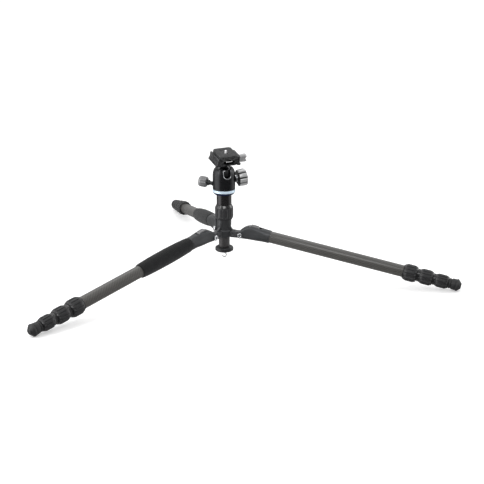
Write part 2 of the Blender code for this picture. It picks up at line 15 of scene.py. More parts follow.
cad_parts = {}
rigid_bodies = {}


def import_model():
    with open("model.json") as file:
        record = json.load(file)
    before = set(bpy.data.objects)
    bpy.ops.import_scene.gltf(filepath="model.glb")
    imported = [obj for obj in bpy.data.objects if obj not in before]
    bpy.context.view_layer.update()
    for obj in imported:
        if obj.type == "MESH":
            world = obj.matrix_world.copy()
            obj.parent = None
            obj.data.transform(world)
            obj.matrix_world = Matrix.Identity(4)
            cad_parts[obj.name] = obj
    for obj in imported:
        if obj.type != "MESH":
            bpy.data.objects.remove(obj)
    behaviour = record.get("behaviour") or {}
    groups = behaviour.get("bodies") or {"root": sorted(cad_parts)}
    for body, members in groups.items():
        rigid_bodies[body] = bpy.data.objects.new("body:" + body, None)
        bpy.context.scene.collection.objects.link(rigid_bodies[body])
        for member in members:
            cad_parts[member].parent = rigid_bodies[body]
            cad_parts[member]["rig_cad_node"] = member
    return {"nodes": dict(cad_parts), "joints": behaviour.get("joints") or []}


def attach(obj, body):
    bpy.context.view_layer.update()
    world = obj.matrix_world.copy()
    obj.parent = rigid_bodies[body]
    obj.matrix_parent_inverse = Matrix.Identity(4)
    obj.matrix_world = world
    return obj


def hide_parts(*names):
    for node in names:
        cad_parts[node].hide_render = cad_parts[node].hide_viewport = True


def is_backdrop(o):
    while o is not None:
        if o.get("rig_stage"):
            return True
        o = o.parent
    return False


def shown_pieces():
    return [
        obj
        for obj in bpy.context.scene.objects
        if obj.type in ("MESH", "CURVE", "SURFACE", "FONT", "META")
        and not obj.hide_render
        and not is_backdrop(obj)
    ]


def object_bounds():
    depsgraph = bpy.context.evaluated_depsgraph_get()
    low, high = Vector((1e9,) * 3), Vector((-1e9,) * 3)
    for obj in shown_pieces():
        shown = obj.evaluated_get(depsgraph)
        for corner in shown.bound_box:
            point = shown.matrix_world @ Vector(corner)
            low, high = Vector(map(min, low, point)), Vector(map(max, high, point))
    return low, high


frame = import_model()
cad_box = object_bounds()

MM = 0.001
UP = Vector((0, 0, 1))
LEGS = (1, 2, 3)
GRIPPED_LEGS = (2, 3)
TUBE_RADII = (14.0, 12.5, 11.0, 9.5)
TUBE_RISE = 11.7  # of a leg's tubes above its fold axis
BALL_RADIUS = 19.0
NOTCH_RADIUS = 8.8
THROUGH_HOLE = 3.4  # radius, in the spider's lugs
ROD_HOLE = 2.9  # radius, in the clamp, its jaw and its knob
RIM_STEPS = 3  # of a rounded rim
PIN = (27.5, -17.0)  # of the clamp's safety button
JOINTS = {joint["name"]: joint for joint in frame["joints"]}


# Frames


def place(joint):
    return Vector(JOINTS[joint]["pos_m"])


def axis(joint):
    return Vector(JOINTS[joint]["axis"]).normalized()


def frame_of(origin, x, z):
    """A frame with Z along z and X as near to x as it can be."""
    z = z.normalized()
    y = z.cross(x).normalized()
    made = Matrix((y.cross(z), y, z)).transposed().to_4x4()
    made.translation = origin
    return made


def moved(matrix, x=0, y=0, z=0, turn=0, about="Z"):
    return matrix @ Matrix.Translation(Vector((x, y, z)) * MM) @ Matrix.Rotation(math.radians(turn), 4, about)


def span(node, matrix):
    """Lowest and highest corner of a CAD node in a frame, in millimetres."""
    inverse = matrix.inverted()
    points = [inverse @ vertex.co / MM for vertex in frame["nodes"][node].data.vertices]
    return [Vector([pick(point[k] for point in points) for k in range(3)]) for pick in (min, max)]


COLUMN = frame_of(place("head_pan"), Vector((1, 0, 0)), UP)
HEAD = frame_of(place("head_pan"), axis("ball_tilt"), UP)
BALL = frame_of(place("ball_tilt"), axis("ball_tilt"), UP)
STEM = frame_of(place("clamp_spin"), axis("ball_tilt"), axis("clamp_spin"))
CLAMP = frame_of(place("camera_screw_turn"), axis("jaw_slide"), axis("clamp_spin"))
MAIN_KNOB = frame_of(place("main_knob_turn"), -UP, axis("main_knob_turn"))
PAN_KNOB = frame_of(place("pan_knob_turn"), -UP, axis("pan_knob_turn"))
CLAMP_KNOB = frame_of(place("clamp_knob_turn"), -axis("clamp_spin"), axis("clamp_knob_turn"))
RING = frame_of(place("screw_ring_fold"), axis("screw_ring_fold"), axis("clamp_spin"))
BALL_HEIGHT = (BALL.translation - HEAD.translation).z / MM


def leg_frame(leg):
    """On the fold axis: X out along the leg, Y along the axis."""
    out = axis(f"leg_{leg}_extend_2")
    return frame_of(place(f"leg_{leg}_fold"), out, out.cross(axis(f"leg_{leg}_fold")))


def tube_frame(leg):
    """On the tubes' axis: Z out along the leg, from the fold axis."""
    out = axis(f"leg_{leg}_extend_2")
    return frame_of(place(f"leg_{leg}_lock_1_turn"), axis(f"leg_{leg}_fold").cross(out) * -1, out)


# Outlines, as lists of 2D points in millimetres


def arc(centre, radius, start, end, steps=12):
    """Points on a circle, both ends included; angles in degrees."""
    points = []
    for step in range(steps + 1):
        angle = math.radians(start + (end - start) * step / steps)
        points.append((centre[0] + radius * math.cos(angle), centre[1] + radius * math.sin(angle)))
    return points


def circle(centre, radius, steps=32):
    return arc(centre, radius, 0, 360, steps)[:-1]


def rectangle(left, bottom, right, top):
    return [(left, bottom), (right, bottom), (right, top), (left, top)]


def rounded(points, radius=0.4, steps=3, closed=True):
    """An outline with its corners rounded. A point may carry its own radius as a third number."""
    made = []
    last = len(points) - 1
    for index, point in enumerate(points):
        here = Vector(point[:2])
        wanted = point[2] if len(point) > 2 else radius
        before = Vector(points[index - 1][:2]) - here
        after = Vector(points[(index + 1) % len(points)][:2]) - here
        at_end = not closed and index in (0, last)
        if at_end or not wanted or before.length * after.length < 1e-9:
            made.append(tuple(here))
            continue
        opening = before.angle(after)
        if opening > math.radians(174):
            made.append(tuple(here))
            continue
        reach = min(wanted / math.tan(opening / 2), before.length * 0.48, after.length * 0.48)
        first, second = here + before.normalized() * reach, here + after.normalized() * reach
        for step in range(steps + 1):
            t = step / steps
            made.append(tuple(first * (1 - t) ** 2 + here * 2 * t * (1 - t) + second * t**2))
    return made


def refined(points, longest, closed=True):
    """The outline with extra points, so that no stretch is longer than that."""
    made = []
    ends = points[1:] + points[:1] if closed else points[1:]
    for here, after in zip(points, ends):
        steps = max(1, math.ceil(math.dist(here, after) / longest))
        made += [tuple(Vector(here).lerp(Vector(after), step / steps)) for step in range(steps)]
    return made if closed else made + [points[-1]]


def inset(points, distance):
    """The outline moved inwards (points run anticlockwise)."""
    made = []
    for index, point in enumerate(points):
        here = Vector(point)
        first = (here - Vector(points[index - 1])).normalized()
        second = (Vector(points[(index + 1) % len(points)]) - here).normalized()
        normal = Vector((-first.y - second.y, first.x + second.x))
        normal = normal.normalized() / max(0.5, math.sqrt(max(0.0, (1 + first.dot(second)) / 2)))
        made.append(tuple(here + normal * distance))
    return made


def stadium(reach, radius, steps):
    """Two half circles centred at that reach from the origin along Y, and the straights between."""
    return arc((0, reach), radius, 0, 180, steps) + arc((0, -reach), radius, 180, 360, steps)


def thread(top, bottom, pitch, crest, root):
    """The outline of a thread from the top down, for rounded() and turned()."""
    points = []
    while top > bottom:
        points += [(crest, top, 0.1), (root, top - 0.6, 0.1)]
        top -= pitch
    return points


# Meshes


def mesh_of(bm, name="part"):
    bmesh.ops.remove_doubles(bm, verts=bm.verts, dist=1e-4)
    bmesh.ops.recalc_face_normals(bm, faces=bm.faces)
    mesh = bpy.data.meshes.new(name)
    bm.to_mesh(mesh)
    bm.free()
    return mesh


def turned(profile, sides=72, shape=None, zones=()):
    """A (radius, height) outline turned about Z.

    shape(radius, height, angle) gives the radius of a ribbed one.
    zones are (lowest, highest, material index) in height.
    """
    bm = bmesh.new()
    on_axis = profile[0][0] < 1e-6 and profile[-1][0] < 1e-6
    rings = []
    for radius, height in profile:
        if radius < 1e-6:
            rings.append([bm.verts.new((0, 0, height))])
            continue
        ring = []
        for side in range(sides):
            angle = math.tau * side / sides
            here = shape(radius, height, angle) if shape else radius
            ring.append(bm.verts.new((here * math.cos(angle), here * math.sin(angle), height)))
        rings.append(ring)
    after = rings[1:] if on_axis else rings[1:] + rings[:1]
    for first, second in zip(rings, after):
        for side in range(sides):
            following = (side + 1) % sides
            corners = [first[side % len(first)], first[following % len(first)]]
            corners += [second[following % len(second)], second[side % len(second)]]
            corners = list(dict.fromkeys(corners))
            if len(corners) < 3:
                continue
            face = bm.faces.new(corners)
            middle = face.calc_center_median().z
            for lowest, highest, index in zones:
                if lowest <= middle <= highest:
                    face.material_index = index
    return mesh_of(bm)


def extruded(outline, low, high, edge=0.4, along="Z"):
    """An outline extruded along X, Y or Z, with rounded rims. Its coordinates are the other two axes."""
    order = {"X": (2, 0, 1), "Y": (0, 2, 1), "Z": (0, 1, 2)}[along]
    area = sum(a[0] * b[1] - b[0] * a[1] for a, b in zip(outline, outline[1:] + outline[:1]))
    outline = outline if area > 0 else outline[::-1]
    levels = []
    for step in reversed(range(RIM_STEPS + 1)):
        angle = math.pi / 2 * step / RIM_STEPS
        levels.append((low + edge * (1 - math.sin(angle)), edge * (1 - math.cos(angle))))
    levels += [(low + high - height, depth) for height, depth in reversed(levels)]
    if not edge:
        levels = [(low, 0), (high, 0)]
    rings = []
    for height, depth in levels:
        points = inset(outline, depth) if depth else outline
        rings.append([[(*point, height)[k] for k in order] for point in points])
    return lofted(rings)


def lofted(sections):
    """A closed skin over rings of points, with a cap at each end."""
    bm = bmesh.new()
    rings = [[bm.verts.new(point) for point in section] for section in sections]
    for first, second in zip(rings, rings[1:]):
        for index in range(len(first)):
            following = (index + 1) % len(first)
            bm.faces.new([first[index], first[following], second[following], second[index]])
    bm.faces.new(rings[0][::-1])
    bm.faces.new(rings[-1])
    return mesh_of(bm)


def corner_cutter(x, inner_x, y, outer_y, low, high):
    """A triangle along Z that takes off a corner."""
    return extruded([(x, y), (x, outer_y), (inner_x, outer_y)], low, high, 0)


def fluted(levels, flutes, sharpness, steps=20):
    """A round solid with hollow flutes between rounded lands, from (height, radius, flute depth) levels."""
    sections = []
    for height, radius, depth in levels:
        section = []
        for step in range(flutes * steps):
            angle = math.tau * step / (flutes * steps)
            here = radius - depth * (0.5 - 0.5 * math.cos(flutes * angle)) ** sharpness
            section.append((here * math.cos(angle), here * math.sin(angle), height))
        sections.append(section)
    return lofted(sections)


def swept(points, radius, closed=False, sides=12, ends=1.0):
    """A round wire along points. ends is the radius at the very ends, as a share."""
    points = [Vector(point) for point in points]
    count = len(points)
    sections = []
    normal = None
    for index, point in enumerate(points):
        before = points[index - 1] if closed or index else point
        after = points[(index + 1) % count] if closed or index < count - 1 else point
        along = (after - before).normalized()
        if normal is None:
            normal = along.orthogonal().normalized()
        normal = (normal - along * normal.dot(along)).normalized()
        other = along.cross(normal)
        here = radius * (ends if not closed and index in (0, count - 1) else 1.0)
        ring = []
        for side in range(sides):
            angle = math.tau * side / sides
            ring.append(point + (normal * math.cos(angle) + other * math.sin(angle)) * here)
        sections.append(ring)
    if not closed:
        return lofted(sections)
    bm = bmesh.new()
    rings = [[bm.verts.new(point) for point in section] for section in sections]
    for first, second in zip(rings, rings[1:] + rings[:1]):
        shift = min(range(sides), key=lambda k: (second[k].co - first[0].co).length)
        for side in range(sides):
            following = (side + 1) % sides
            bm.faces.new([
                first[side], first[following], second[(following + shift) % sides],
                second[(side + shift) % sides]
            ])
    return mesh_of(bm)


def shifted(mesh, x=0, y=0, z=0, turn=0, about="Z"):
    """The mesh turned by that many degrees and then moved."""
    mesh.transform(Matrix.Translation((x, y, z)) @ Matrix.Rotation(math.radians(turn), 4, about))
    return mesh


def joined(*meshes):
    """Several closed shells in one mesh, which stay separate shells."""
    bm = bmesh.new()
    for mesh in meshes:
        bm.from_mesh(mesh)
    return mesh_of(bm)


def carved(mesh, cuts=(), joins=(), edge=0.0):
    """The mesh with others joined to it and cut from it, and its new edges bevelled."""
    target = bpy.data.objects.new("carved", mesh)
    bpy.context.scene.collection.objects.link(target)
    tools = []
    for operation, group in (("UNION", joins), ("DIFFERENCE", cuts)):
        for tool_mesh in group:
            tool = bpy.data.objects.new("tool", tool_mesh)
            bpy.context.scene.collection.objects.link(tool)
            modifier = target.modifiers.new("carve", "BOOLEAN")
            modifier.operation = operation
            modifier.solver = "EXACT"
            modifier.material_mode = "INDEX"
            modifier.object = tool
            tools.append(tool)
    if edge:
        modifier = target.modifiers.new("bevel", "BEVEL")
        modifier.width = edge
        modifier.segments = 2
        modifier.limit_method = "ANGLE"
        modifier.angle_limit = math.radians(38)
    graph = bpy.context.evaluated_depsgraph_get()
    made = bpy.data.meshes.new_from_object(target.evaluated_get(graph))
    for obj in [target, *tools]:
        bpy.data.objects.remove(obj)
    if len(made.polygons) < 6:
        raise SystemExit(f"a carved mesh came out empty: {len(cuts)} cuts")
    return made


def piece(name, mesh, matrix, body, finishes, stands_for=(), sharp=38):
    """One finished object of the tripod, which rides on a CAD body."""
    mesh = mesh.copy()
    mesh.name = name
    mesh.transform(Matrix.Scale(MM, 4))
    zones = [polygon.material_index for polygon in mesh.polygons]
    mesh.materials.clear()
    for finish in finishes if isinstance(finishes, (list, tuple)) else [finishes]:
        mesh.materials.append(finish)
    mesh.polygons.foreach_set("material_index", [min(zone, len(mesh.materials) - 1) for zone in zones])
    mesh.shade_smooth()
    mesh.set_sharp_from_angle(angle=math.radians(sharp))
    obj = bpy.data.objects.new(name, mesh)
    bpy.context.scene.collection.objects.link(obj)
    obj.matrix_world = matrix
    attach(obj, body)
    if stands_for:
        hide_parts(*([stands_for] if isinstance(stands_for, str) else stands_for))
    return obj


# Materials


class Nodes:
    """Short ways to add nodes to a node tree."""

    def __init__(self, tree):
        self.tree = tree

    def node(self, kind, **settings):
        made = self.tree.nodes.new("ShaderNode" + kind)
        for key, value in settings.items():
            setattr(made, key, value)
        return made

    def feed(self, socket, value):
        if isinstance(value, bpy.types.NodeSocket):
            self.tree.links.new(value, socket)
        else:
            socket.default_value = value

    def math(self, operation, first, second=0.0, third=0.0):
        made = self.node("Math", operation=operation)
        for socket, value in zip(made.inputs, (first, second, third)):
            self.feed(socket, value)
        return made.outputs[0]

    def spread(self, value, low, high, to_low=0.0, to_high=1.0):
        """The value's share of low to high, mapped smoothly to other limits."""
        made = self.node("MapRange", interpolation_type="SMOOTHSTEP")
        for socket, given in zip(made.inputs, (value, low, high, to_low, to_high)):
            self.feed(socket, given)
        return made.outputs[0]

    def split(self, vector):
        made = self.node("SeparateXYZ")
        self.feed(made.inputs[0], vector)
        return made.outputs


class Surface(Nodes):
    """A Principled material. Coordinates are the piece's own, in metres."""

    def __init__(self, name, colour, roughness, metallic=0.0, **more):
        self.material = bpy.data.materials.new(name)
        self.material.use_nodes = True
        super().__init__(self.material.node_tree)
        self.shader = self.tree.nodes["Principled BSDF"]
        self.colour = colour
        values = {"Base Color": (*colour, 1), "Roughness": roughness, "Metallic": metallic}
        values.update({key.replace("_", " ").capitalize(): value for key, value in more.items()})
        names = {socket.name.lower(): socket for socket in self.shader.inputs}
        for key, value in values.items():
            names[key.lower()].default_value = value
        self.normal = None

    def coordinates(self, stretch=(1, 1, 1)):
        mapping = self.node("Mapping")
        mapping.inputs["Scale"].default_value = stretch
        self.feed(mapping.inputs["Vector"], self.node("TexCoord").outputs["Object"])
        return mapping.outputs[0]

    def grain(self, scale, detail=3.0, stretch=(1, 1, 1)):
        made = self.node("TexNoise")
        self.feed(made.inputs["Vector"], self.coordinates(stretch))
        made.inputs["Scale"].default_value = scale
        made.inputs["Detail"].default_value = detail
        return made.outputs["Fac"]

    def cells(self, scale, stretch=(1, 1, 1)):
        made = self.node("TexVoronoi")
        self.feed(made.inputs["Vector"], self.coordinates(stretch))
        made.inputs["Scale"].default_value = scale
        return made.outputs["Distance"]

    def edges(self):
        """How near a point is to a rounded edge, from 0 to 1, as store_edges() stores it."""
        return self.node("Attribute", attribute_name="edge").outputs["Fac"]

    def mixed(self, share, first, second):
        made = self.node("Mix", data_type="RGBA")
        self.feed(made.inputs[0], share)
        for socket, value in zip(made.inputs[6:8], (first, second)):
            self.feed(socket, (*value, 1) if isinstance(value, tuple) else value)
        return made.outputs[2]

    def paint(self, value):
        self.feed(self.shader.inputs["Base Color"], value)

    def vary(self, share, amount, lift=1.0):
        """The base colour, darker and lighter by that amount with the share."""
        low = tuple(channel * (1 - amount) for channel in self.colour)
        high = tuple(min(1.0, channel * (1 + amount) * lift) for channel in self.colour)
        return self.mixed(share, low, high)

    def polish(self, value, low, high):
        """Roughness that follows the value, from 0 to 1."""
        self.feed(self.shader.inputs["Roughness"], self.spread(value, 0.2, 0.8, low, high))

    def bump(self, height, depth_mm, strength=1.0):
        made = self.node("Bump")
        made.inputs["Distance"].default_value = depth_mm * MM
        made.inputs["Strength"].default_value = strength
        self.feed(made.inputs["Height"], height)
        if self.normal:
            self.feed(made.inputs["Normal"], self.normal)
        self.normal = made.outputs["Normal"]
        self.feed(self.shader.inputs["Normal"], self.normal)


def carbon(radius):
    """Twill-woven carbon fibre under a satin coat, wound round a tube of that radius in millimetres. Over and
    under tows differ in colour as a painted sheen.
    """
    made = Surface(f"carbon_weave_{radius:g}", (0.06, 0.057, 0.052), 0.4, coat_weight=0.6,
                   coat_roughness=0.24)
    tow = 1.9
    twill = 4  # tows in a repeat
    around = twill * round(math.tau * radius / tow / twill)
    x, y, z = made.split(made.coordinates())
    angle = made.math("ARCTAN2", y, x)
    across = made.math("MULTIPLY_ADD", angle, around / math.tau, around)
    along = made.math("MULTIPLY_ADD", z, 1 / (tow * MM), 1000 * twill)
    diagonal = made.math("ADD", made.math("FLOOR", across), made.math("FLOOR", along))
    over = made.math("LESS_THAN", made.math("MODULO", diagonal, twill), 1.5)
    warp_edge = made.math("PINGPONG", across, 0.5)
    weft_edge = made.math("PINGPONG", along, 0.5)
    weft_edge = made.math("MULTIPLY", weft_edge, made.math("SUBTRACT", 1, over))
    height = made.math("MULTIPLY_ADD", warp_edge, over, weft_edge)
    height = made.spread(height, 0.0, 0.3)
    fibres = made.grain(2600, 2, (1, 1, 0.06))
    # Painted sheen: tows that lie over are lighter than those under, standing in for the fibres' directional
    # gloss; the fibre grain mixed in is real colour variation.
    lights = made.spread(made.math("MULTIPLY_ADD", over, 0.35, made.math("MULTIPLY", fibres, 0.65)), 0.2, 0.8)
    tows = made.mixed(lights, (0.05, 0.048, 0.0445), (0.082, 0.078, 0.0715))
    resin = made.mixed(height, (0.034, 0.0325, 0.03), tows)
    made.paint(resin)
    made.polish(made.grain(120, 4), 0.34, 0.5)
    made.bump(height, 0.12, 0.45)
    return made.material


def foam():
    """Closed-cell grip foam: matt, with fine open pores and a faint bloom."""
    made = Surface("grip_foam", (0.0105, 0.011, 0.0115), 0.94, specular_ior_level=0.25, sheen_weight=0.12)
    pores = made.spread(made.cells(1500), 0.05, 0.5)
    made.paint(made.vary(made.grain(70, 6), 0.25, 1.1))
    made.polish(pores, 0.88, 0.99)
    made.bump(pores, 0.22, 0.8)
    made.bump(made.grain(260, 5), 0.35, 0.5)
    return made.material


def rubber(name="moulded_rubber", colour=(0.015, 0.015, 0.016), low=0.38, high=0.56):
    """Moulded rubber: fine spark-eroded grain, edges paler from handling."""
    made = Surface(name, colour, 0.6, specular_ior_level=0.45)
    wear = made.math("MULTIPLY", made.edges(), made.grain(420, 4))
    made.paint(made.mixed(made.spread(wear, 0.1, 0.7), made.vary(made.grain(160, 5), 0.22),
                          (0.05, 0.05, 0.052)))
    made.polish(made.grain(240, 4), low, high)
    made.bump(made.grain(1800, 3), 0.06, 0.7)
    return made.material


def metal(name, colour, low, high, worn, metallic=0.85, grain_mm=0.03, coat=0.0):
    """Anodised or plated metal with a fine blasted grain and rubbed edges."""
    made = Surface(name, colour, low, metallic, coat_weight=coat, coat_roughness=0.2)
    wear = made.math("MULTIPLY", made.edges(), made.spread(made.grain(300, 5), 0.35, 0.65))
    cloud = made.grain(45, 5)
    made.paint(made.mixed(made.math("MULTIPLY", wear, 0.55), made.vary(cloud, 0.12), worn))
    made.polish(cloud, low, high)
    made.bump(made.grain(3200, 2), grain_mm, 0.6)
    return made.material


def turned_metal(name, colour, low, high, metallic, lines=2600, flute_shade_radii=None):
    """Machined metal with fine lines around its own Z axis and worn edges, and painted shade below the given
    radii: near black under the first, fading out by the second.
    """
    made = Surface(name, colour, low, metallic)
    rings = made.grain(lines, 2, (0.02, 0.02, 1))
    wear = made.math("MULTIPLY", made.edges(), made.spread(made.grain(260, 4), 0.3, 0.7))
    pale = tuple(min(1.0, channel * 2.1) for channel in colour)
    tone = made.mixed(made.math("MULTIPLY", wear, 0.6), made.vary(rings, 0.1), pale)
    # Painted shade: near black in a knob's flute hollows and on its end faces, where the shade falls; it is
    # not the metal's colour.
    if flute_shade_radii:
        x, y, _ = made.split(made.coordinates())
        radius = made.math("SQRT", made.math("MULTIPLY_ADD", y, y, made.math("POWER", x, 2)))
        tone = made.mixed(made.spread(radius, flute_shade_radii[0] * MM, flute_shade_radii[1] * MM), (0.015, 0.015, 0.016), tone)
    made.paint(tone)
    made.polish(rings, low, high)
    made.bump(rings, 0.03, 0.6)
    return made.material


def bright_metal(name, colour, low, high):
    """Polished metal with faint smears in its gloss."""
    made = Surface(name, colour, low, 1.0)
    made.paint(made.vary(made.grain(60, 4), 0.05))
    made.polish(made.grain(90, 5), low, high)
    made.bump(made.grain(900, 3), 0.01, 0.4)
    return made.material


FOAM = foam()
RUBBER = rubber()
COLLAR_RUBBER = rubber("collar_rubber", (0.024, 0.024, 0.026), 0.34, 0.52)
PAD_RUBBER = rubber("pad_rubber", (0.046, 0.046, 0.047), 0.6, 0.78)
GLOSS_BLACK = metal("gloss_black", (0.012, 0.012, 0.013), 0.14, 0.24, (0.09, 0.09, 0.09), 0.2, 0.008, 0.5)
CASTING = metal("satin_casting", (0.062, 0.064, 0.067), 0.36, 0.48, (0.2, 0.2, 0.21), 0.6)
BLACK_METAL = metal("black_anodised", (0.014, 0.014, 0.016), 0.24, 0.32, (0.13, 0.13, 0.135), 0.55)
PLATE_METAL = metal("plate_anodised", (0.05, 0.052, 0.054), 0.36, 0.48, (0.2, 0.2, 0.2), 0.7)
TUBE_METAL = metal("column_tube_satin", (0.06, 0.057, 0.058), 0.42, 0.54, (0.15, 0.15, 0.15), 0.35)
COLUMN_METAL = metal("column_satin", (0.04, 0.038, 0.04), 0.22, 0.3, (0.15, 0.15, 0.15), 0.75)
TITANIUM = turned_metal("titanium_anodised", (0.47, 0.47, 0.475), 0.3, 0.42, 0.6)
# Painted shade in the main knob's flutes and on its end faces: near black below 17.4 mm radius, fading out by
# 19.4 mm.
FLUTED_WITH_PAINTED_SHADE = turned_metal("fluted_titanium_painted_shade", (0.56, 0.56, 0.565), 0.3, 0.42, 0.6, flute_shade_radii=(17.4, 19.4))
GREY_KNURL = turned_metal("grey_anodised", (0.2, 0.2, 0.204), 0.34, 0.46, 0.6)
STEEL = bright_metal("bright_steel", (0.74, 0.75, 0.77), 0.12, 0.22)
BALL_METAL = bright_metal("polished_ball", (0.1, 0.1, 0.105), 0.12, 0.2)
RING_BRIGHT = metal("ring_pale_blue", (0.66, 0.8, 0.95), 0.3, 0.4, (0.9, 0.94, 0.98), 0.3, 0.008)
RING_NAVY = metal("ring_navy", (0.008, 0.014, 0.055), 0.26, 0.36, (0.025, 0.04, 0.12), 0.5)
NICKEL = metal("satin_nickel", (0.8, 0.8, 0.81), 0.2, 0.28, (0.95, 0.95, 0.95), 0.5, 0.008)
EDGE_METAL = bright_metal("machined_edge", (0.25, 0.255, 0.265), 0.24, 0.34)
PLASTIC = rubber("bearing_plastic", (0.02, 0.02, 0.02), 0.4, 0.55)


# Legs


def grooved(count, depth, land, low, high, fade):
    """A shape for turned(): grooves along Z between wide lands, which fade out towards both ends.
    land is the land's share of the pitch."""

    def shape(radius, height, angle):
        phase = (angle / math.tau * count) % 1.0
        off_centre = abs(phase - 0.5) * 2
        cut = min(1.0, max(0.0, (off_centre - land) / (1 - land) * 2.2))
        cut = cut * cut * (3 - 2 * cut)
        reach = min(1.0, max(0.0, (height - low) / fade), max(0.0, (high - height) / fade))
        return radius - depth * cut * reach * (radius > 0)

    return shape


def make_tube(leg, section, body, tube):
    """A leg tube, and the dark ring and thread that its twist lock turns on."""
    node = ("upper_tube", "tube_2", "tube_3", "tube_4")[section] + f"_{leg}"
    low, high = span(node, tube)
    radius = TUBE_RADII[section]
    inside = radius - 1.2
    end = high.z - (4.0 if section < 3 else 0.0)
    wall = [(inside, end), (radius, end), (radius, low.z), (inside, low.z)]
    piece(f"{node}_weave", turned(rounded(wall, 0.4), 80), tube, body, CARBON[section], node)
    if section == 3:
        return
    lock_low = span(f"twist_lock_{section + 1}_leg_{leg}", tube)[0]
    if section:
        neck = span(f"twist_lock_{section}_leg_{leg}", tube)[1].z + 0.3
    else:
        neck = lock_low.z - 2.2
    ferrule, collar = radius + 1.4, radius + (2.6 if section else 1.9)
    middle = (neck + lock_low.z) / 2
    profile = [
        (radius + 0.05, high.z), (ferrule - 0.5, high.z), (ferrule, high.z - 1),
        (ferrule, lock_low.z - 0.3, 0.1), (collar, lock_low.z - 0.3), (collar, middle + 0.5, 0.2),
        (collar - 0.6, middle, 0.2), (collar, middle - 0.5, 0.2), (collar, neck), (radius + 0.05, neck),
    ]
    piece(f"lock_neck_{section + 1}_leg_{leg}", turned(rounded(profile, 0.5), 96), tube, body,
          GLOSS_BLACK)


def lock_mesh(start, end, radius, inner, ferrule):
    """A barrel of ribbed rubber between two glossy rims."""
    wide, close = ferrule + 0.5, inner + 0.5
    step = start + 23
    barrel = [
        (close, end, 0.3), (close + 1.6, end, 0.4), (radius - 2.6, end - 0.3, 0.5),
        (radius - 2.2, end - 2.2, 0.2), (radius - 1.9, end - 2.4, 0.2), (radius, end - 7, 5),
        (radius, start + 7, 5), (radius - 1.9, start + 2.2, 0.2), (radius - 2.3, start + 1.9, 0.2),
        (radius - 2.6, start, 0.5), (wide, start, 0.2), (wide, step, 0), (close, step, 0),
    ]
    profile = refined(rounded(barrel, 0.5, 4), 2.0)
    ribs = grooved(14, 1.9, 0.55, start + 2.6, end - 2.8, 3.5)

    def shape(here, height, angle):
        return ribs(here, height, angle) if here > radius - 2.4 else here

    return turned(profile, 168, shape, [(start - 1, start + 2.0, 1), (end - 2.3, end + 1, 1)])


def foot_mesh(low, high):
    """A flared rubber foot: two grooves, a bead, and a cone with stepped treads."""
    start, end = low.z, high.z
    rim = end - 8
    radius = high.x
    profile = [
        (9.8, start, 0.2), (11.6, start, 0.6), (12.2, start + 2.5, 0.4), (12.2, rim - 17, 0.5),
        (11.2, rim - 16, 0.3), (11.2, rim - 14.8, 0.3), (12.6, rim - 14, 1), (13.3, rim - 8, 2),
        (13.3, rim - 5.2, 0.2), (12.7, rim - 4.9, 0.2), (12.7, rim - 4.1, 0.2), (13.8, rim - 3.8, 0.3),
        (radius, rim, 1.0), (12.4, rim + 2, 0.4), (11.9, rim + 2, 0.3), (11.5, rim + 3.1, 0.3),
        (9.9, rim + 4.3, 0.3), (9.4, rim + 4.3, 0.3), (9.0, rim + 5.2, 0.3), (6.4, end, 1.2), (4.2, end, 0.5),
        (4.0, end - 2, 0.3), (0, end - 2),
    ]
    inner = [(0, end - 14), (9.8, end - 14, 0.2)]
    return turned(refined(rounded(inner + profile, 0.4, 4, closed=False), 2.5, closed=False), 96)


def grip_mesh(low, high):
    """A foam sleeve, thicker in the middle, with soft ends and the slight unevenness of cut foam."""
    start, end = low.z, high.z
    radius = high.x
    outer = []
    steps = 46
    for step in range(steps + 1):
        share = step / steps
        height = start + 3 + (end - start - 6) * share
        swell = math.sin(math.pi * share) ** 0.6
        outer.append((16.4 + (radius - 16.4) * swell, height))
    profile = [(14.3, start + 0.4), (15.2, start), (16.0, start + 0.9)] + outer
    profile += [(16.0, end - 0.9), (15.2, end), (14.3, end - 0.4)]
    profile = refined(profile, 3.0)

    def shape(here, height, angle):
        point = Vector((math.cos(angle), math.sin(angle), height / 22)) * 1.4
        return here if here < 15 else here + 0.22 * (noise.noise(point) - 0.4)

    return turned(profile, 96, shape)


def shoulder_section(x, half_width, bottom, top, squareness, steps=64):
    """A ring across the leg at x: from a rounded box to a circle as squareness falls to 2."""
    points = []
    for step in range(steps):
        angle = math.tau * step / steps
        cosine, sine = math.cos(angle), math.sin(angle)
        y = half_width * math.copysign(abs(cosine) ** (2 / squareness), cosine)
        z = (top + bottom) / 2 + (top - bottom) / 2 * math.copysign(abs(sine) ** (2 / squareness), sine)
        points.append((x, y, z))
    return points


def smooth_at(stations, x):
    """Values between stations (x, value, ...), eased from one to the next."""
    for here, after in zip(stations, stations[1:]):
        if x <= after[0]:
            share = max(0.0, (x - here[0]) / (after[0] - here[0]))
            return [a + (b - a) * share for a, b in zip(here[1:], after[1:])]
    return list(stations[-1][1:])


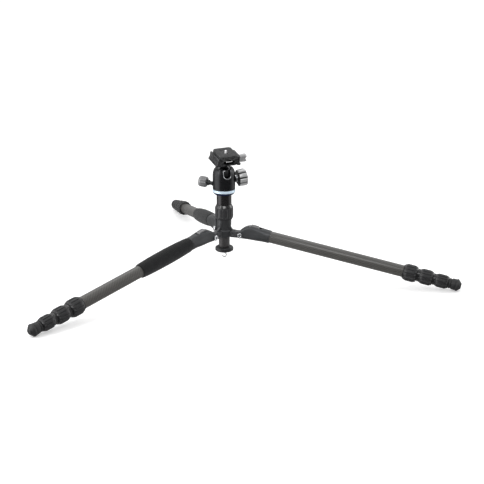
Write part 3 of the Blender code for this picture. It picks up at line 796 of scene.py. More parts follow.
def shoulder_mesh():
    """The arched casting: fork ears at the fold axis, a hump for the angle tab, and the tube's sleeve."""
    centre = TUBE_RISE
    sleeve = 15.7
    stations = [
        (-7.9, 12.6, -1.2, 1.2, 3), (-7.4, 12.8, -3.2, 3.4, 3.4), (-6, 13, -5.2, 6.5, 4),
        (-3, 13, -7.2, 10.5, 4.4), (0, 13, -7.8, 14.2, 4.6), (4, 13, -7.9, 18.2, 4.6),
        (8, 13, -7.4, 21.6, 4.6), (12, 13, -6.9, 24.0, 4.6), (17, 13.1, -6.2, 25.9, 4.6),
        (24, 13.3, -5.5, 26.9, 4.4), (34, 14, -4.9, 27.3, 3.8), (44, 14.9, -4.5, 27.4, 2.9),
        (54, 15.5, centre - sleeve - 0.2, centre + sleeve + 0.1, 2.2),
        (60, sleeve, centre - sleeve, centre + sleeve, 2), (69, sleeve, centre - sleeve, centre + sleeve, 2),
        (70.2, sleeve - 0.2, centre - sleeve + 0.2, centre + sleeve - 0.2, 2),
        (70.9, sleeve - 0.9, centre - sleeve + 0.9, centre + sleeve - 0.9, 2),
    ]
    places = [-7.9, -7.7, -7.4, -7.0, -6.5, -6, -5, -4, -3, -1.5] + [1.5 * step for step in range(46)]
    places += [69, 69.6, 70.2, 70.6, 70.9]
    body = lofted([shoulder_section(x, *smooth_at(stations, x)) for x in places])
    slot = extruded(rectangle(-12, -14, 10, 44), -8.3, 8.3, 0, "Y")
    track = extruded(rounded(rectangle(14, 22, 47.2, 40), 1.5, 4), -6.8, 6.8, 0.6, "Y")
    bore = shifted(turned(rounded([(0, 90), (14.25, 90), (14.25, 47.5), (0, 47.5)], 0.2, 2, False), 64),
                   turn=90,
                   about="Y", z=centre)
    washers = [shifted(turned([(0, 4), (6.75, 4), (6.75, 0), (0, 0)], 48), turn=90 * side, about="X",
                       y=-12.2 * side)
               for side in (1, -1)]
    slim = extruded(circle((0, 0), 3.5, 32), -20, 20, 0, "Y")
    return carved(body, [slot, track, bore, slim, *washers], edge=0.35)


def tab_mesh():
    """The sprung catch: a wedge with a raised rim and five finger ridges."""
    outline = [(15, 22.6), (41, 22.6), (41, 26.2), (37.5, 29.1), (36.2, 29.1)]
    for ridge in range(5):
        x = 34.6 - 2.6 * ridge
        outline += [(x + 0.8, 28.1), (x - 0.4, 28.1), (x - 0.9, 29.1), (x - 1.8, 29.1)]
    outline += [(21, 28.6), (16.4, 26.4), (15, 24.6)]
    wedge = extruded(rounded(outline, 0.25, 2), -5.9, 5.9, 0.15, "Y")
    rib = extruded(rounded([(17, 25), (40, 25), (38.4, 28.9), (37, 29.3), (22, 29.3)], 0.5), -0.8, 0.8, 0.3,
                   "Y")
    sides = [shifted(rib.copy(), y=offset) for offset in (-5.0, 5.0)]
    return joined(wedge, *sides)


def bolt_mesh():
    """A through bolt with a domed, socketed head at each side."""
    head = [(0, 16.3), (5.2, 16.3, 0.6), (6.4, 15.2, 0.6), (6.4, 12.4, 0.3), (2.9, 12.4, 0.2)]
    profile = rounded(head, 0.3, 4, False)
    profile += [(radius, -height) for radius, height in reversed(profile)]
    hexagon = circle((0, 0), 2.9, 6)
    sockets = [extruded(hexagon, low, low + 6, 0) for low in (13.4, -19.4)]
    return carved(turned(profile, 64), sockets, edge=0.15)


def make_leg(leg, shared):
    body = f"leg_{leg}"
    arm, tube = leg_frame(leg), tube_frame(leg)
    piece(f"shoulder_{leg}_casting", shared["shoulder"], arm, body, CASTING, f"shoulder_{leg}", 30)
    piece(f"angle_tab_{leg}_catch", shared["tab"], arm, f"{body}_angle_tab", GREY_KNURL,
          f"angle_tab_{leg}")
    hinge = frame_of(place(f"{body}_fold"), UP, axis(f"{body}_fold"))
    piece(f"pivot_bolt_{leg}_steel", shared["bolt"], hinge, "root", STEEL, f"pivot_bolt_{leg}")
    for section in range(4):
        riding = body if section == 0 else f"{body}_section_{section + 1}"
        make_tube(leg, section, riding, tube)
    for lock in (1, 2, 3):
        node = f"twist_lock_{lock}_leg_{leg}"
        low, high = span(node, tube)
        mesh = lock_mesh(low.z, high.z, high.x, TUBE_RADII[lock], TUBE_RADII[lock - 1] + 1.4)
        piece(f"{node}_barrel", mesh, tube, f"{body}_lock_{lock}", [RUBBER, GLOSS_BLACK], node)
    foot_end = f"{body}_section_4"
    low, high = span(f"foot_{leg}", tube)
    piece(f"foot_{leg}_rubber", foot_mesh(low, high), tube, foot_end, RUBBER, f"foot_{leg}")
    stud = [(0, high.z - 2.1), (3.6, high.z - 2.1), (3.6, high.z - 1.2, 0.4), (1.2, high.z - 0.2, 0.4),
            (0, high.z - 0.2)]
    piece(f"foot_stud_{leg}", turned(rounded(stud, 0.3, 3, False), 40), tube, foot_end, CASTING)
    if leg in GRIPPED_LEGS:
        low, high = span(f"foam_grip_{leg}", tube)
        grip = piece(f"foam_grip_{leg}_sleeve", grip_mesh(low, high), tube, body, FOAM,
                     f"foam_grip_{leg}")


CARBON = [carbon(radius) for radius in TUBE_RADII]
shared_meshes = {"shoulder": shoulder_mesh(), "tab": tab_mesh(), "bolt": bolt_mesh()}
for leg in LEGS:
    make_leg(leg, shared_meshes)


# Column


def make_column():
    low, high = span("spider", COLUMN)
    bore = 13.65
    neck = [
        (bore, high.z, 0.2), (15.9, high.z, 0.4), (15.9, 35.6, 0), (17.2, 35.6, 0.4), (17.6, 35.1, 0.4),
        (17.5, 30, 6), (17.2, 22, 8), (16.1, 11.6, 3), (16.6, 9.8, 0.6), (17.9, 8.6, 0.6), (18.2, 7.4, 0.6),
        (18.2, -5.4, 0.6), (17.2, -7.4, 0.8), (16, low.z, 0.4), (bore, low.z, 0.3),
    ]
    neck = turned(refined(rounded(neck, 0.4, 5), 2.5), 96)
    joins, cuts = [], []
    for leg in LEGS:
        reach = (place(f"leg_{leg}_fold") - COLUMN.translation) / MM
        out, angle = reach.length, math.degrees(math.atan2(reach.y, reach.x))
        outline = arc((out, 0), 7.5, -90, 90, 14) + [(30, 7.5), (26, 8.4), (15, 9.2), (15, -6.6), (22, -7.2)]
        lug = extruded(rounded(outline, 0.8), -7.9, 7.9, 0, "Y")
        gusset = extruded(rounded([(15, 5), (31, 5), (28, 9), (21, 10.6), (17, 17), (15, 17)], 0.8), -2.2,
                          2.2, 0, "Y")
        hole = extruded(circle((out, 0), THROUGH_HOLE), -20, 20, 0, "Y")
        joins += [shifted(lug, turn=angle), shifted(gusset, turn=angle)]
        cuts.append(shifted(hole, turn=angle))
    piece("spider_casting", carved(neck, cuts, joins, 0.35), COLUMN, "root", CASTING, "spider", 34)

    low, high = span("column_lock", COLUMN)
    collar = [
        (14.2, high.z, 0.3), (17.9, high.z, 0.5), (18.6, high.z - 1.0, 0.4), (21.2, high.z - 5.9, 0.8),
        (21.5, high.z - 7.0, 0.3), (21.0, high.z - 7.5, 0.2), (22, high.z - 8.3, 0.4), (22, low.z + 5.6, 1.0),
        (21.2, low.z + 4.4, 0.4), (19.6, low.z + 0.6, 0.5), (19.1, low.z, 0.4), (16.5, low.z, 0.2),
        (16.5, low.z + 28, 0), (14.2, low.z + 28, 0),
    ]
    flutes = grooved(12, 1.7, 0.5, low.z + 4.0, high.z - 7.9, 3.0)

    def shape(radius, height, angle):
        return flutes(radius, height, angle) if radius > 20.6 and height < high.z - 7.8 else radius

    mesh = turned(refined(rounded(collar, 0.4, 4), 2.0), 192, shape, [(high.z - 7.2, high.z + 1, 1)])
    piece("column_lock_collar", mesh, COLUMN, "column_lock", [COLLAR_RUBBER, GLOSS_BLACK],
          "column_lock")

    low, high = span("column_collet", COLUMN)
    ring = rounded(rectangle(13.65, low.z, 16, high.z), 0.4)
    piece("column_collet_ring", turned(ring, 72), COLUMN, "root", PLASTIC, "column_collet")

    low, high = span("column_tube", COLUMN)
    tube = rounded([(11.6, high.z), (13.25, high.z), (13.25, low.z), (11.6, low.z)], 0.4)
    piece("column_tube_skin", turned(tube, 96), COLUMN, "column", TUBE_METAL, "column_tube")

    low, high = span("column_platform", COLUMN)
    top = high.z - 12.6
    platform = [
        (0, high.z), (4.0, high.z), (4.6, high.z - 0.6, 0.1), (4.6, top, 0), (16.8, top, 0.3),
        (18, top - 1.2, 0.4), (18, low.z, 0.5), (13.6, low.z, 0.3), (13.6, 90, 0), (0, 90),
    ]
    piece("column_platform_turned", turned(refined(rounded(platform, 0.4, 4, False), 3, False), 96), COLUMN,
          "column", COLUMN_METAL, "column_platform")

    low, high = span("column_flange", COLUMN)
    top = high.z - 12
    flange = [
        (2.2, high.z, 0.2), (11.3, high.z, 0.5), (11.3, top, 0), (20.2, top, 0.6), (22, top - 1.8, 1.2),
        (22, top - 4.1, 0.2), (21.4, top - 4.4, 0.2), (21.4, top - 5.0, 0.2), (22, top - 5.3, 0.2),
        (22, top - 7.6, 1.4), (20, low.z, 0.8), (12, low.z, 0.4), (9.5, low.z + 1.2, 0.5),
        (6, low.z + 1.2, 0.5), (5, low.z, 0.4), (2.2, low.z, 0.2),
    ]
    piece("column_flange_disc", turned(rounded(flange, 0.4, 4), 96), COLUMN, "column",
          COLLAR_RUBBER,
          "column_flange")
    make_hook()


def make_hook():
    """The open hook, with a turned collar on its shank."""
    low, high = span("hook", COLUMN)
    wire = 1.4
    radius = (high.x - low.x) / 2 - wire
    centre = low.z + wire + radius
    points = [(0, 0, high.z - 2 * step) for step in range(int((high.z - centre - radius - 1) / 2) + 1)]
    points += [(0, 0, centre + radius + 0.8)]
    for step in range(41):
        angle = math.radians(90 - 270 * step / 40)
        points.append((radius * math.cos(angle), 0, centre + radius * math.sin(angle)))
    wire_mesh = swept(points, wire, sides=20, ends=0.7)
    bead = rounded([(0, 2.2), (1.6, 2.2), (2.0, 1.6), (2.0, -1.6), (1.6, -2.2), (0, -2.2)], 0.4, 4, False)
    collar = shifted(turned(bead, 40), z=centre + radius + 1.6)
    piece("hook_wire", joined(wire_mesh, collar), COLUMN, "hook", NICKEL, "hook")
    neck = rounded([(1.45, -0.2), (2.5, -0.2), (2.9, -0.8), (2.9, -4.2), (2.4, -4.8), (1.45, -4.8)], 0.3, 4)
    piece("hook_neck", shifted(turned(neck, 48), z=centre + radius + 7.4), COLUMN, "hook",
          GLOSS_BLACK)


# Ball head


def notch_flare(ball, walls):
    """What the notch's bevelled rim takes away: layers of the notch's shape that follow the round wall."""
    bm = bmesh.new()
    layers = []
    for depth, grow in ((1.9, -0.3), (0, 1.6), (-1.9, 3.5)):
        reach = NOTCH_RADIUS + grow
        rows = [(height, reach) for height in (168, 163, 161, 159, 156, 153)]
        for step in range(21):
            angle = math.radians(step * 4.5)
            rows.append((ball - reach * math.sin(angle), reach * math.cos(angle)))
        layer = []
        for height, half in rows:
            wall = np.interp(height, [z for z, _ in walls], [radius for _, radius in walls])
            across = np.linspace(-half, half, 13)
            layer.append([bm.verts.new((x, depth - math.sqrt(wall**2 - x**2), height)) for x in across])
        layers.append(layer)
    grids = [layers[0], layers[-1]]
    grids.append([layer[0] for layer in layers])
    grids += [[[row[side] for row in layer] for layer in layers] for side in (0, -1)]
    for grid in grids:
        for first, second in zip(grid, grid[1:]):
            for column in range(len(first) - 1):
                bm.faces.new((first[column], first[column + 1], second[column + 1], second[column]))
    bmesh.ops.remove_doubles(bm, verts=bm.verts, dist=0.01)
    mesh = mesh_of(bm)
    for polygon in mesh.polygons:
        polygon.material_index = 1
    return mesh


def make_housing():
    low, high = span("housing", HEAD)
    radius = 27.0
    inside = BALL_RADIUS + 0.6
    floor_low, floor_high = 123.5, 127.8
    ball = BALL_HEIGHT
    socket = [(math.sqrt(inside**2 - height**2), ball + height, 0) for height in (0, 2, 4, 6, 8.5)]
    outside = [
        (20.2, high.z, 0.4), (21.4, high.z - 0.3, 0.6), (24.4, high.z - 5.0, 1.2), (26.3, high.z - 11.4, 3),
        (radius, high.z - 18, 5), (radius, low.z + 5.2, 0.2), (26.6, low.z + 4.9, 0.15),
        (26.6, low.z + 4.3, 0.15), (radius, low.z + 4.0, 0.2), (radius, low.z + 1.2, 0.5), (25.9, low.z, 0.3),
        (9.4, low.z, 0.2), (9.4, floor_low, 0), (0, floor_low, 0),
    ]
    profile = [(0, floor_high, 0), (inside, floor_high, 0)] + socket + outside
    body = turned(refined(rounded(profile, 0.4, 5, False), 2.2, False), 144)
    notch = arc((0, ball), NOTCH_RADIUS, 180, 360, 40) + [(NOTCH_RADIUS, 180), (-NOTCH_RADIUS, 180)]
    notch = extruded(notch, -34, -12, 0, "Y")
    flare = notch_flare(ball, [(point[1], point[0]) for point in reversed(outside[:5])])
    holes = []
    for knob, hole in ((MAIN_KNOB, 4.5), (PAN_KNOB, 3.9)):
        cutter = turned([(0, 5), (hole, 5), (hole, -14.5), (0, -14.5)], 48)
        cutter.transform(HEAD.inverted() @ knob @ Matrix.Scale(MM, 4))
        cutter.transform(Matrix.Scale(1 / MM, 4))
        holes.append(cutter)
    mesh = carved(body, [notch, flare, *holes], edge=0.3)
    piece("housing_shell", mesh, HEAD, "pan", [BLACK_METAL, EDGE_METAL], "housing", 30)

    for name, knob, inner, outer in (("main", MAIN_KNOB, 4.7, 8.2), ("pan", PAN_KNOB, 4.1, 6.4)):
        boss = rounded([(inner, -0.8), (outer, -0.8), (outer, 0.5, 0.3), (outer - 0.8, 1.2, 0.3),
                        (inner, 1.2)], 0.3)
        piece(f"{name}_knob_boss", turned(boss, 64), knob, "pan", BLACK_METAL)

    low, high = span("ball_cup", HEAD)
    reach = BALL_RADIUS + 0.5
    seat = [(math.sqrt(reach**2 - depth**2), ball - depth, 0) for depth in (14, 15, 16, 17, 18, 18.8)]
    cup = [(19.3, ball - 14, 0)] + seat + [(5.2, low.z, 0), (19.3, low.z, 0.3)]
    piece("ball_cup_liner", turned(rounded(cup, 0.3), 96), HEAD, "pan", PLASTIC, "ball_cup")


def make_base_ring():
    """The bright panning ring, with a navy toothed bevel under it."""
    low, high = span("base_ring", COLUMN)
    base, top = low.z, low.z + 11.6
    profile = [
        (0, high.z, 0), (8.6, high.z, 0.3), (9, high.z - 0.6, 0.3), (9, top, 0), (26.4, top, 0.3),
        (27.2, top - 0.8, 0.4), (27.2, base + 5.8, 0.4), (26.8, base + 5.4, 0.1), (26.7, base + 4.9, 0.3),
        (23.4, base + 0.3, 0.4), (22.8, base, 0.2), (4.9, base, 0.2), (4.9, 112, 0), (0, 112, 0),
    ]
    teeth = grooved(60, 0.9, 0.35, base + 0.2, base + 5.0, 0.8)

    def shape(radius, height, angle):
        return teeth(radius, height, angle) if radius > 23 and height < base + 5.0 else radius

    zones = [(base - 1, base + 5.2, 1), (base + 5.2, top + 1, 0)]
    mesh = turned(refined(rounded(profile, 0.3, 3, False), 1.2, False), 300, shape, zones)
    piece("base_ring_band", mesh, COLUMN, "column", [RING_BRIGHT, RING_NAVY], "base_ring")


def knob_mesh(levels, flutes, sharpness, bore, hub_depth, dish, steps=20):
    """A fluted knob, bored from its inner face to that depth and dished in its outer one; both by radius."""
    start, end = levels[0][0], levels[-1][0]
    hub = turned([(0, start + hub_depth), (bore, start + hub_depth), (bore, start - 3), (0, start - 3)], 48)
    hollow = [(0, end + 3), (dish, end + 3), (dish, end + 0.2, 0.1), (dish - 0.9, end - 0.9, 0.3),
              (0, end - 0.9)]
    hollow = turned(rounded(hollow, 0.3, 3, False), 64)
    return carved(fluted(levels, flutes, sharpness, steps), [hub, hollow], edge=0.2)


def make_knobs():
    levels = [
        (7.8, 18.6, 1.6), (8.1, 19.5, 2.4), (8.8, 20.1, 3.2), (9.8, 20.4, 3.5), (17, 20.8, 3.7),
        (25, 21, 3.8), (26.4, 20.8, 3.6), (27.3, 20.2, 3.0), (27.8, 19.2, 2.2), (28, 18.2, 1.6),
    ]
    # The main knob's grip gets painted shade, near black in its flute hollows and on its end faces.
    piece("main_knob_grip", knob_mesh(levels, 9, 3.4, 4.9, 12.6, 13.5), MAIN_KNOB, "main_knob",
          FLUTED_WITH_PAINTED_SHADE,
          "main_knob", 30)
    cap = rounded([(0, 27.9), (10.5, 27.9), (12.3, 27.5), (12.4, 27.0), (0, 27.0)], 0.3, 3, False)
    piece("main_knob_cap", turned(cap, 64), MAIN_KNOB, "main_knob", GLOSS_BLACK)
    shaft = [
        (0, 20, 0), (4.5, 20, 0.4), (4.5, 7.4, 0.1), (8.1, 7.4, 0.3), (8.5, 6.9, 0.3), (8.5, 5.1, 0.2),
        (7.7, 4.8, 0.2), (7.7, 4.0, 0.2), (8.5, 3.7, 0.2), (8.5, 1.7, 0.3), (8.1, 1.4, 0.2), (4, 1.4, 0.2),
        (4, -6.6, 0.5), (0, -6.6, 0),
    ]
    piece("main_shaft_collar", turned(rounded(shaft, 0.3, 4, False), 64), MAIN_KNOB, "main_knob",
          STEEL,
          "main_shaft")
    levels = [
        (15, 10.0, 0.1), (15.3, 10.9, 0.2), (16.4, 11.9, 0.6), (18.4, 12.9, 1.0), (20.4, 13.2, 1.2),
        (29, 13.2, 1.2), (32, 12.8, 1.0), (34.2, 11.7, 0.6), (35.5, 10.2, 0.3), (36, 8.5, 0.1),
    ]
    piece("pan_knob_grip", knob_mesh(levels, 12, 1.2, 3.4, 11.4, 6.0, 14), PAN_KNOB, "pan_knob",
          GREY_KNURL, "pan_knob", 30)
    shaft = [
        (0, 26, 0), (3, 26, 0.3), (3, 14.6, 0), (6.3, 14.6, 0.4), (6.8, 13.8, 0.4), (6.8, 12.4, 0.2),
        (6.2, 12.1, 0.2), (6.2, 11.3, 0.2), (6.8, 11, 0.2), (6.8, 9.4, 0.4), (6.3, 9, 0.3), (4.6, 9, 0.2),
        (4.6, 1.4, 0.3), (3.4, 1.4, 0.1), (3.4, -14, 0.4), (0, -14, 0),
    ]
    piece("pan_shaft_stepped", turned(rounded(shaft, 0.3, 4, False), 56), PAN_KNOB, "pan_knob",
          PLATE_METAL,
          "pan_shaft")


def make_ball():
    steps = 56
    half = []
    for step in range(steps + 1):
        angle = math.pi * step / steps
        radius = BALL_RADIUS * math.sin(angle) if 0 < step < steps else 0
        half.append((radius, BALL_RADIUS * math.cos(angle)))
    piece("ball_sphere", turned(half, 112), BALL, "ball", BALL_METAL, "ball")
    seat = BALL_RADIUS + 0.35
    under = [(radius, math.sqrt(seat**2 - radius**2), 0) for radius in (7.2, 5, 3, 0)]
    stem = [
        (0, 30.2, 0), (11.8, 30.2, 0.4), (12.5, 29.6, 0.3), (12.5, 28.4, 0.3), (9.4, 27.8, 0.8),
        (7.8, 26.2, 1.6), (7.2, 24, 1.5), (7.2, 19.4, 0.4),
    ]
    profile = refined(rounded(stem + under, 0.4, 5, False), 1.5, False)
    piece("ball_stem_neck", turned(profile, 80), STEM, "stem", BLACK_METAL, "ball_stem", 30)


make_column()
make_base_ring()
make_housing()
make_knobs()
make_ball()


# Clamp and plate


def make_clamp():
    """The clamp's body with its fixed jaw, the moving jaw, and what is screwed into them."""
    body = [
        (-33, 32, 0.8), (18, 32, 0.8), (18, 40, 0.4), (-19.4, 40, 0.3), (-19.4, 42.1, 0.2),
        (-16.1, 45.4, 0.2), (-16.1, 46.4, 0.3), (-24.1, 46.4, 0.3), (-24.1, 50, 0.5), (-28.0, 50, 1.2),
        (-28.7, 46.5, 1.5), (-28.9, 39, 3.5),
    ]
    body = extruded(rounded(body, 0.4, 4), -25, 25, 0, "Y")
    rod = extruded(circle((0, 36), ROD_HOLE), -22, 20, 0, "X")
    arch = [(-14, 42), (-14, 38.6)] + arc((0, 38.6), 14, 180, 360, 24)[1:-1] + [(14, 38.6), (14, 42)]
    arch = [(x, 38.6 + (z - 38.6) * (0.26 if z < 38.6 else 1.0)) for x, z in arch]
    scoop = lofted([
        [(x * share, y, 40 + (z - 40) * (share if z < 40 else 1.0)) for x, z in arch]
        for y, share in ((-27, 1.12), (-25, 1.0), (-20, 0.96), (-12, 0.82), (-7, 0.68), (-3.8, 0.3))
    ])
    corners = [corner_cutter(-37, -27, 20 * side, 29 * side, 28, 54) for side in (-1, 1)]
    grips = [extruded(circle((-32.1, y), 3.1, 24), 34.2, 48.2, 0.5) for y in (-13.5, -4.5, 4.5, 13.5)]
    mesh = carved(body, [rod, scoop, *corners, *grips], edge=0.4)
    piece("clamp_body_milled", mesh, CLAMP, "clamp", BLACK_METAL, "clamp_body", 30)

    jaw = [
        (18.4, 33, 0.6), (30.9, 33, 1.2), (32.5, 40, 4), (31.5, 50, 1.4), (24.1, 50, 0.5), (24.1, 46.4, 0.3),
        (16.1, 46.4, 0.3), (16.1, 45.4, 0.2), (19.4, 42.1, 0.2), (19.4, 40.3, 0.2), (18.4, 40.3, 0.2),
    ]
    jaw = extruded(rounded(jaw, 0.4, 4), -22, 22, 0, "Y")
    hole = extruded(circle((0, 36), ROD_HOLE), 12, 36, 0, "X")
    pin_hole = extruded(circle(PIN, 2.3), 30, 42, 0)
    corners = [corner_cutter(34.5, 23.5, 12 * side, 26 * side, 28, 54) for side in (-1, 1)]
    mesh = carved(jaw, [hole, pin_hole, *corners], edge=0.4)
    piece("clamp_jaw_milled", mesh, CLAMP, "jaw", BLACK_METAL, "clamp_jaw", 30)

    low, high = span("clamp_rod", CLAMP_KNOB)
    threads = [(0, high.z, 0), (2.5, high.z, 0.3), (2.5, 34.9, 0.1), (4.5, 34.7, 0.3), (4.5, 32.9, 0.3),
               (2.5, 32.9, 0.1)]
    threads += thread(31.5, low.z + 1, 1.25, 2.5, 2.1)
    threads += [(2.5, low.z + 0.4, 0.2), (2.1, low.z, 0.2), (0, low.z, 0)]
    piece("clamp_rod_threaded", turned(rounded(threads, 0.2, 2, False), 48), CLAMP_KNOB, "clamp_knob",
          STEEL,
          "clamp_rod")
    make_clamp_knob()
    low, high = span("safety_pin", CLAMP)
    button = [
        (0, high.z - 0.1, 0), (1.5, high.z - 0.1, 0.3), (1.9, high.z - 0.6, 0.2), (1.9, 32.6, 0.1),
        (5.1, 32.6, 0.4), (5.5, 32.1, 0.3), (5.5, 31.3, 0.2), (5.1, 31.0, 0.2), (5.1, 30.5, 0.2),
        (5.5, 30.2, 0.2), (5.3, low.z, 0.7), (2.6, low.z, 0.4), (1.8, low.z + 0.4, 0.3), (0, low.z + 0.4, 0),
    ]
    piece("safety_pin_button", turned(rounded(button, 0.3, 4, False), 48), moved(CLAMP, *PIN), "safety_pin",
          GLOSS_BLACK, "safety_pin")


def make_clamp_knob():
    """A two-lobed knob, with a saddle across its outer end."""
    low, high = span("clamp_knob", CLAMP_KNOB)
    levels = [
        (low.z, 8.4, 2.2), (low.z + 0.3, 9.0, 2.8), (low.z + 1.4, 9.6, 3.0), (low.z + 4, 9.9, 3.2),
        (high.z - 5, 10, 3.2), (high.z - 1.6, 9.8, 3.1), (high.z - 0.4, 9.2, 2.7), (high.z, 8.2, 2.2),
    ]
    bore = turned([(0, 48.4), (ROD_HOLE, 48.4), (ROD_HOLE, 33), (0, 33)], 40)
    saddle = extruded(circle((0, high.z + 0.5), 4.3, 48), -14, 14, 0, "Y")
    slots = [
        extruded(rectangle(x - 0.5, low.z + 3.4, x + 0.5, high.z - 6.2), 5.6, 12, 0, "Y") for x in (-4.8, 4.8)
    ]
    backs = [shifted(slot.copy(), turn=180) for slot in slots]
    mesh = carved(fluted(levels, 2, 1.6, 44), [bore, saddle, *slots, *backs], edge=0.3)
    piece("clamp_knob_grip", mesh, CLAMP_KNOB, "clamp_knob", TITANIUM, "clamp_knob", 30)


def make_plate():
    """The quick-release plate, chamfered at its corners, with a dovetail and an arched pocket under it."""
    half = [
        (18.7, 40.5, 0.3), (19, 41.0, 0.3), (19, 42.0, 0.2), (15.7, 45.3, 0.2), (15.7, 46.9, 0.2),
        (22.9, 46.9, 0.3), (23.5, 47.5, 0.3), (23.5, 50.0, 0.2), (23.0, 50.3, 0.15), (23.0, 50.9, 0.15),
        (23.5, 51.2, 0.2), (23.5, 54.3, 0.4), (22.5, 55.5, 0.4),
    ]
    outline = half + [(-point[0], *point[1:]) for point in reversed(half)]
    body = extruded(rounded(outline, 0.3, 3), -25, 25, 0, "Y")
    corners = [
        corner_cutter(24.5 * x, 18 * x, 19.5 * y, 26 * y, 46, 58) for x in (-1, 1) for y in (-1, 1)
    ]
    arch = [(x, 40 + max(-2, z) * 0.5) for x, z in arc((0, 0), 14.8, 0, 180, 24)]
    arch += [(-14.8, 38.5), (14.8, 38.5)]
    pocket = extruded(arch, -27, 14, 0, "Y")
    slot = extruded(stadium(5, 3.6, 14), 45, 58, 0)
    hole = extruded(circle((-9, 8), 1.6), 38, 58, 0)
    mesh = carved(body, [*corners, pocket, slot, hole], edge=0.35)
    piece("plate_milled", mesh, CLAMP, "plate", PLATE_METAL, "quick_release_plate", 30)

    low, high = span("plate_pad", CLAMP)
    sheet = [
        (-21.3, -18.5, 1), (-17.3, -23.5, 1), (17.3, -23.5, 1), (21.3, -18.5, 1), (21.3, 18.5, 1),
        (17.3, 23.5, 1), (-17.3, 23.5, 1), (-21.3, 18.5, 1),
    ]
    pad = extruded(rounded(sheet, 1, 4), low.z, high.z - 0.35, 0.2)
    opening = extruded(stadium(5, 5.5, 16), 54, 60, 0)
    keyhole = extruded(circle((-9, 8), 2.0), 54, 60, 0)
    pad = carved(pad, [opening, keyhole], edge=0.12)
    ribs = []
    rib = 0.45  # radius
    for side in (-1, 1):
        for offset in (19.6, 17.2):
            line = [(side * offset, y, high.z - rib) for y in np.linspace(-17.5, 17.5, 12)]
            ribs.append(swept(line, rib, sides=10, ends=0.3))
        for bend in (0, 1, 2):
            line = []
            for step in range(17):
                share = step / 16
                x = -12.5 + 25 * share
                y = side * (12.2 + 3.2 * bend + 2.2 * math.sin(math.pi * (share - 0.5)) * side)
                line.append((x, y, high.z - rib))
            ribs.append(swept(line, rib, sides=10, ends=0.3))
    piece("plate_pad_rubber", joined(pad, *ribs), CLAMP, "plate", PAD_RUBBER, "plate_pad")

    screw = [(0, 60.5, 0), (2.2, 60.5, 0.3), (3.0, 59.6, 0.2)]
    screw += thread(59.0, 49, 1.27, 3.05, 2.5)
    screw += [
        (3.05, 47.6, 0.1), (3.05, 47, 0.1), (7.1, 47, 0.3), (7.5, 46.6, 0.2), (7.5, 45, 0.2),
        (7.1, 44.6, 0.3), (0, 44.6, 0),
    ]
    mesh = turned(rounded(screw, 0.15, 3, False), 64)
    piece("camera_screw_threaded",
          carved(mesh, [extruded(rectangle(-9, -0.7, 9, 0.7), 43, 45.4, 0)], edge=0.1), CLAMP,
          "camera_screw", NICKEL, "camera_screw")
    corner = rounded([(-7.2, 1.2, 2.4), (-8.2, -20.2, 3.4), (8.2, -20.2, 3.4), (7.2, 1.2, 2.4)], 2, 10)
    loop = [(x, y, 0) for x, y in refined(corner, 1.0)]
    piece("screw_ring_wire", swept(loop, 1.0, closed=True, sides=16), RING, "screw_ring", NICKEL,
          "screw_ring")


make_clamp()
make_plate()


# Studio


def area_light(name, location, target, size, power):
    light = bpy.data.lights.new(name, "AREA")
    light.shape = "RECTANGLE"
    light.size, light.size_y = size
    light.energy = power
    obj = bpy.data.objects.new(name, light)
    bpy.context.scene.collection.objects.link(obj)
    obj.location = location
    obj.rotation_euler = (target - location).to_track_quat("-Z", "Y").to_euler()


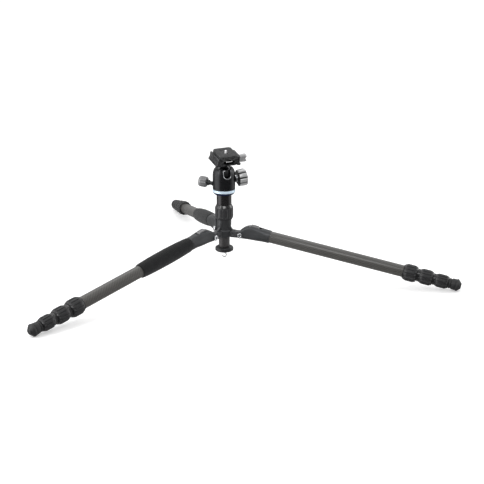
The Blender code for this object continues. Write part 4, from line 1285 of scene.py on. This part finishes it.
def make_studio():
    """A back-lit white floor, a soft sky darker in front and brighter at both sides, and four soft lights."""
    low, high = cad_box
    centre = (low + high) / 2
    paper = Surface("floor_paper", (0.93, 0.93, 0.93), 0.9, specular_ior_level=0.1, emission_strength=0.32)
    paper.shader.inputs["Emission Color"].default_value = (1, 1, 1, 1)
    paper.paint(paper.vary(paper.grain(30, 4), 0.01))
    bm = bmesh.new()
    bmesh.ops.create_circle(bm, cap_ends=True, segments=96, radius=14)
    floor = bpy.data.objects.new("floor", mesh_of(bm, "floor"))
    bpy.context.scene.collection.objects.link(floor)
    floor.data.materials.append(paper.material)
    floor.location.z = low.z - 0.0005
    floor.visible_glossy = False
    floor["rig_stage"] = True

    world = bpy.data.worlds.new("studio")
    bpy.context.scene.world = world
    world.use_nodes = True
    sky = Nodes(world.node_tree)
    x, y, z = sky.split(sky.node("TexCoord").outputs["Generated"])
    light = sky.math("MULTIPLY", sky.spread(z, -0.35, 0.95, 0.3, 1.05), sky.spread(y, -0.9, 0.35, 0.3, 1.0))
    for start, end, power in ((-0.8, -0.93, 2.2), (0.82, 0.95, 0.9)):
        light = sky.math("ADD", light, sky.spread(x, start, end, 0.0, power))
    strength = sky.node("Mix")
    sky.feed(strength.inputs[0], sky.node("LightPath").outputs["Is Camera Ray"])
    sky.feed(strength.inputs[2], light)
    sky.feed(strength.inputs[3], 1.0)
    background = sky.tree.nodes["Background"]
    background.inputs["Color"].default_value = (1, 1, 1, 1)
    sky.feed(background.inputs["Strength"], strength.outputs[0])

    aim = centre + Vector((0, 0, 0.08))
    area_light("key_left", centre + Vector((-1.7, -0.7, 1.1)), aim, (0.5, 1.8), 11)
    area_light("fill_right", centre + Vector((1.9, -0.1, 0.9)), aim, (0.6, 1.6), 6)
    area_light("front_top", centre + Vector((-0.35, -1.6, 1.35)), aim, (1.1, 0.4), 9)
    area_light("top_back", centre + Vector((0.1, 1.0, 2.0)), aim, (1.8, 1.0), 6)
    bpy.context.scene.view_settings.view_transform = "Standard"


def make_camera():
    """The view that the picture was taken from: a little above the head, 2.4 m away and left of square on."""
    camera = bpy.data.cameras.new("camera")
    camera.sensor_width = 36
    camera.lens = 73.43
    obj = bpy.data.objects.new("camera", camera)
    bpy.context.scene.collection.objects.link(obj)
    obj.location = (-0.5791, -2.3423, 0.8248)
    target = Vector((0.0416, -0.149, 0.0741))
    obj.rotation_euler = (target - obj.location).to_track_quat("-Z", "Y").to_euler()
    bpy.context.scene.camera = obj


make_studio()
make_camera()


def store_edges():
    """For each finished piece, how sharply its surface turns at each point, as an attribute named edge."""
    soft, hard = math.radians(7), math.radians(24)
    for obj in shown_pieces():
        if obj.type != "MESH" or "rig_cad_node" in obj:
            continue
        bm = bmesh.new()
        bm.from_mesh(obj.data)
        values = []
        for vertex in bm.verts:
            turn = max((edge.calc_face_angle(0) for edge in vertex.link_edges), default=0)
            values.append(min(1.0, max(0.0, (turn - soft) / (hard - soft))))
        bm.free()
        attribute = obj.data.attributes.new("edge", "FLOAT", "POINT")
        attribute.data.foreach_set("value", values)


store_edges()
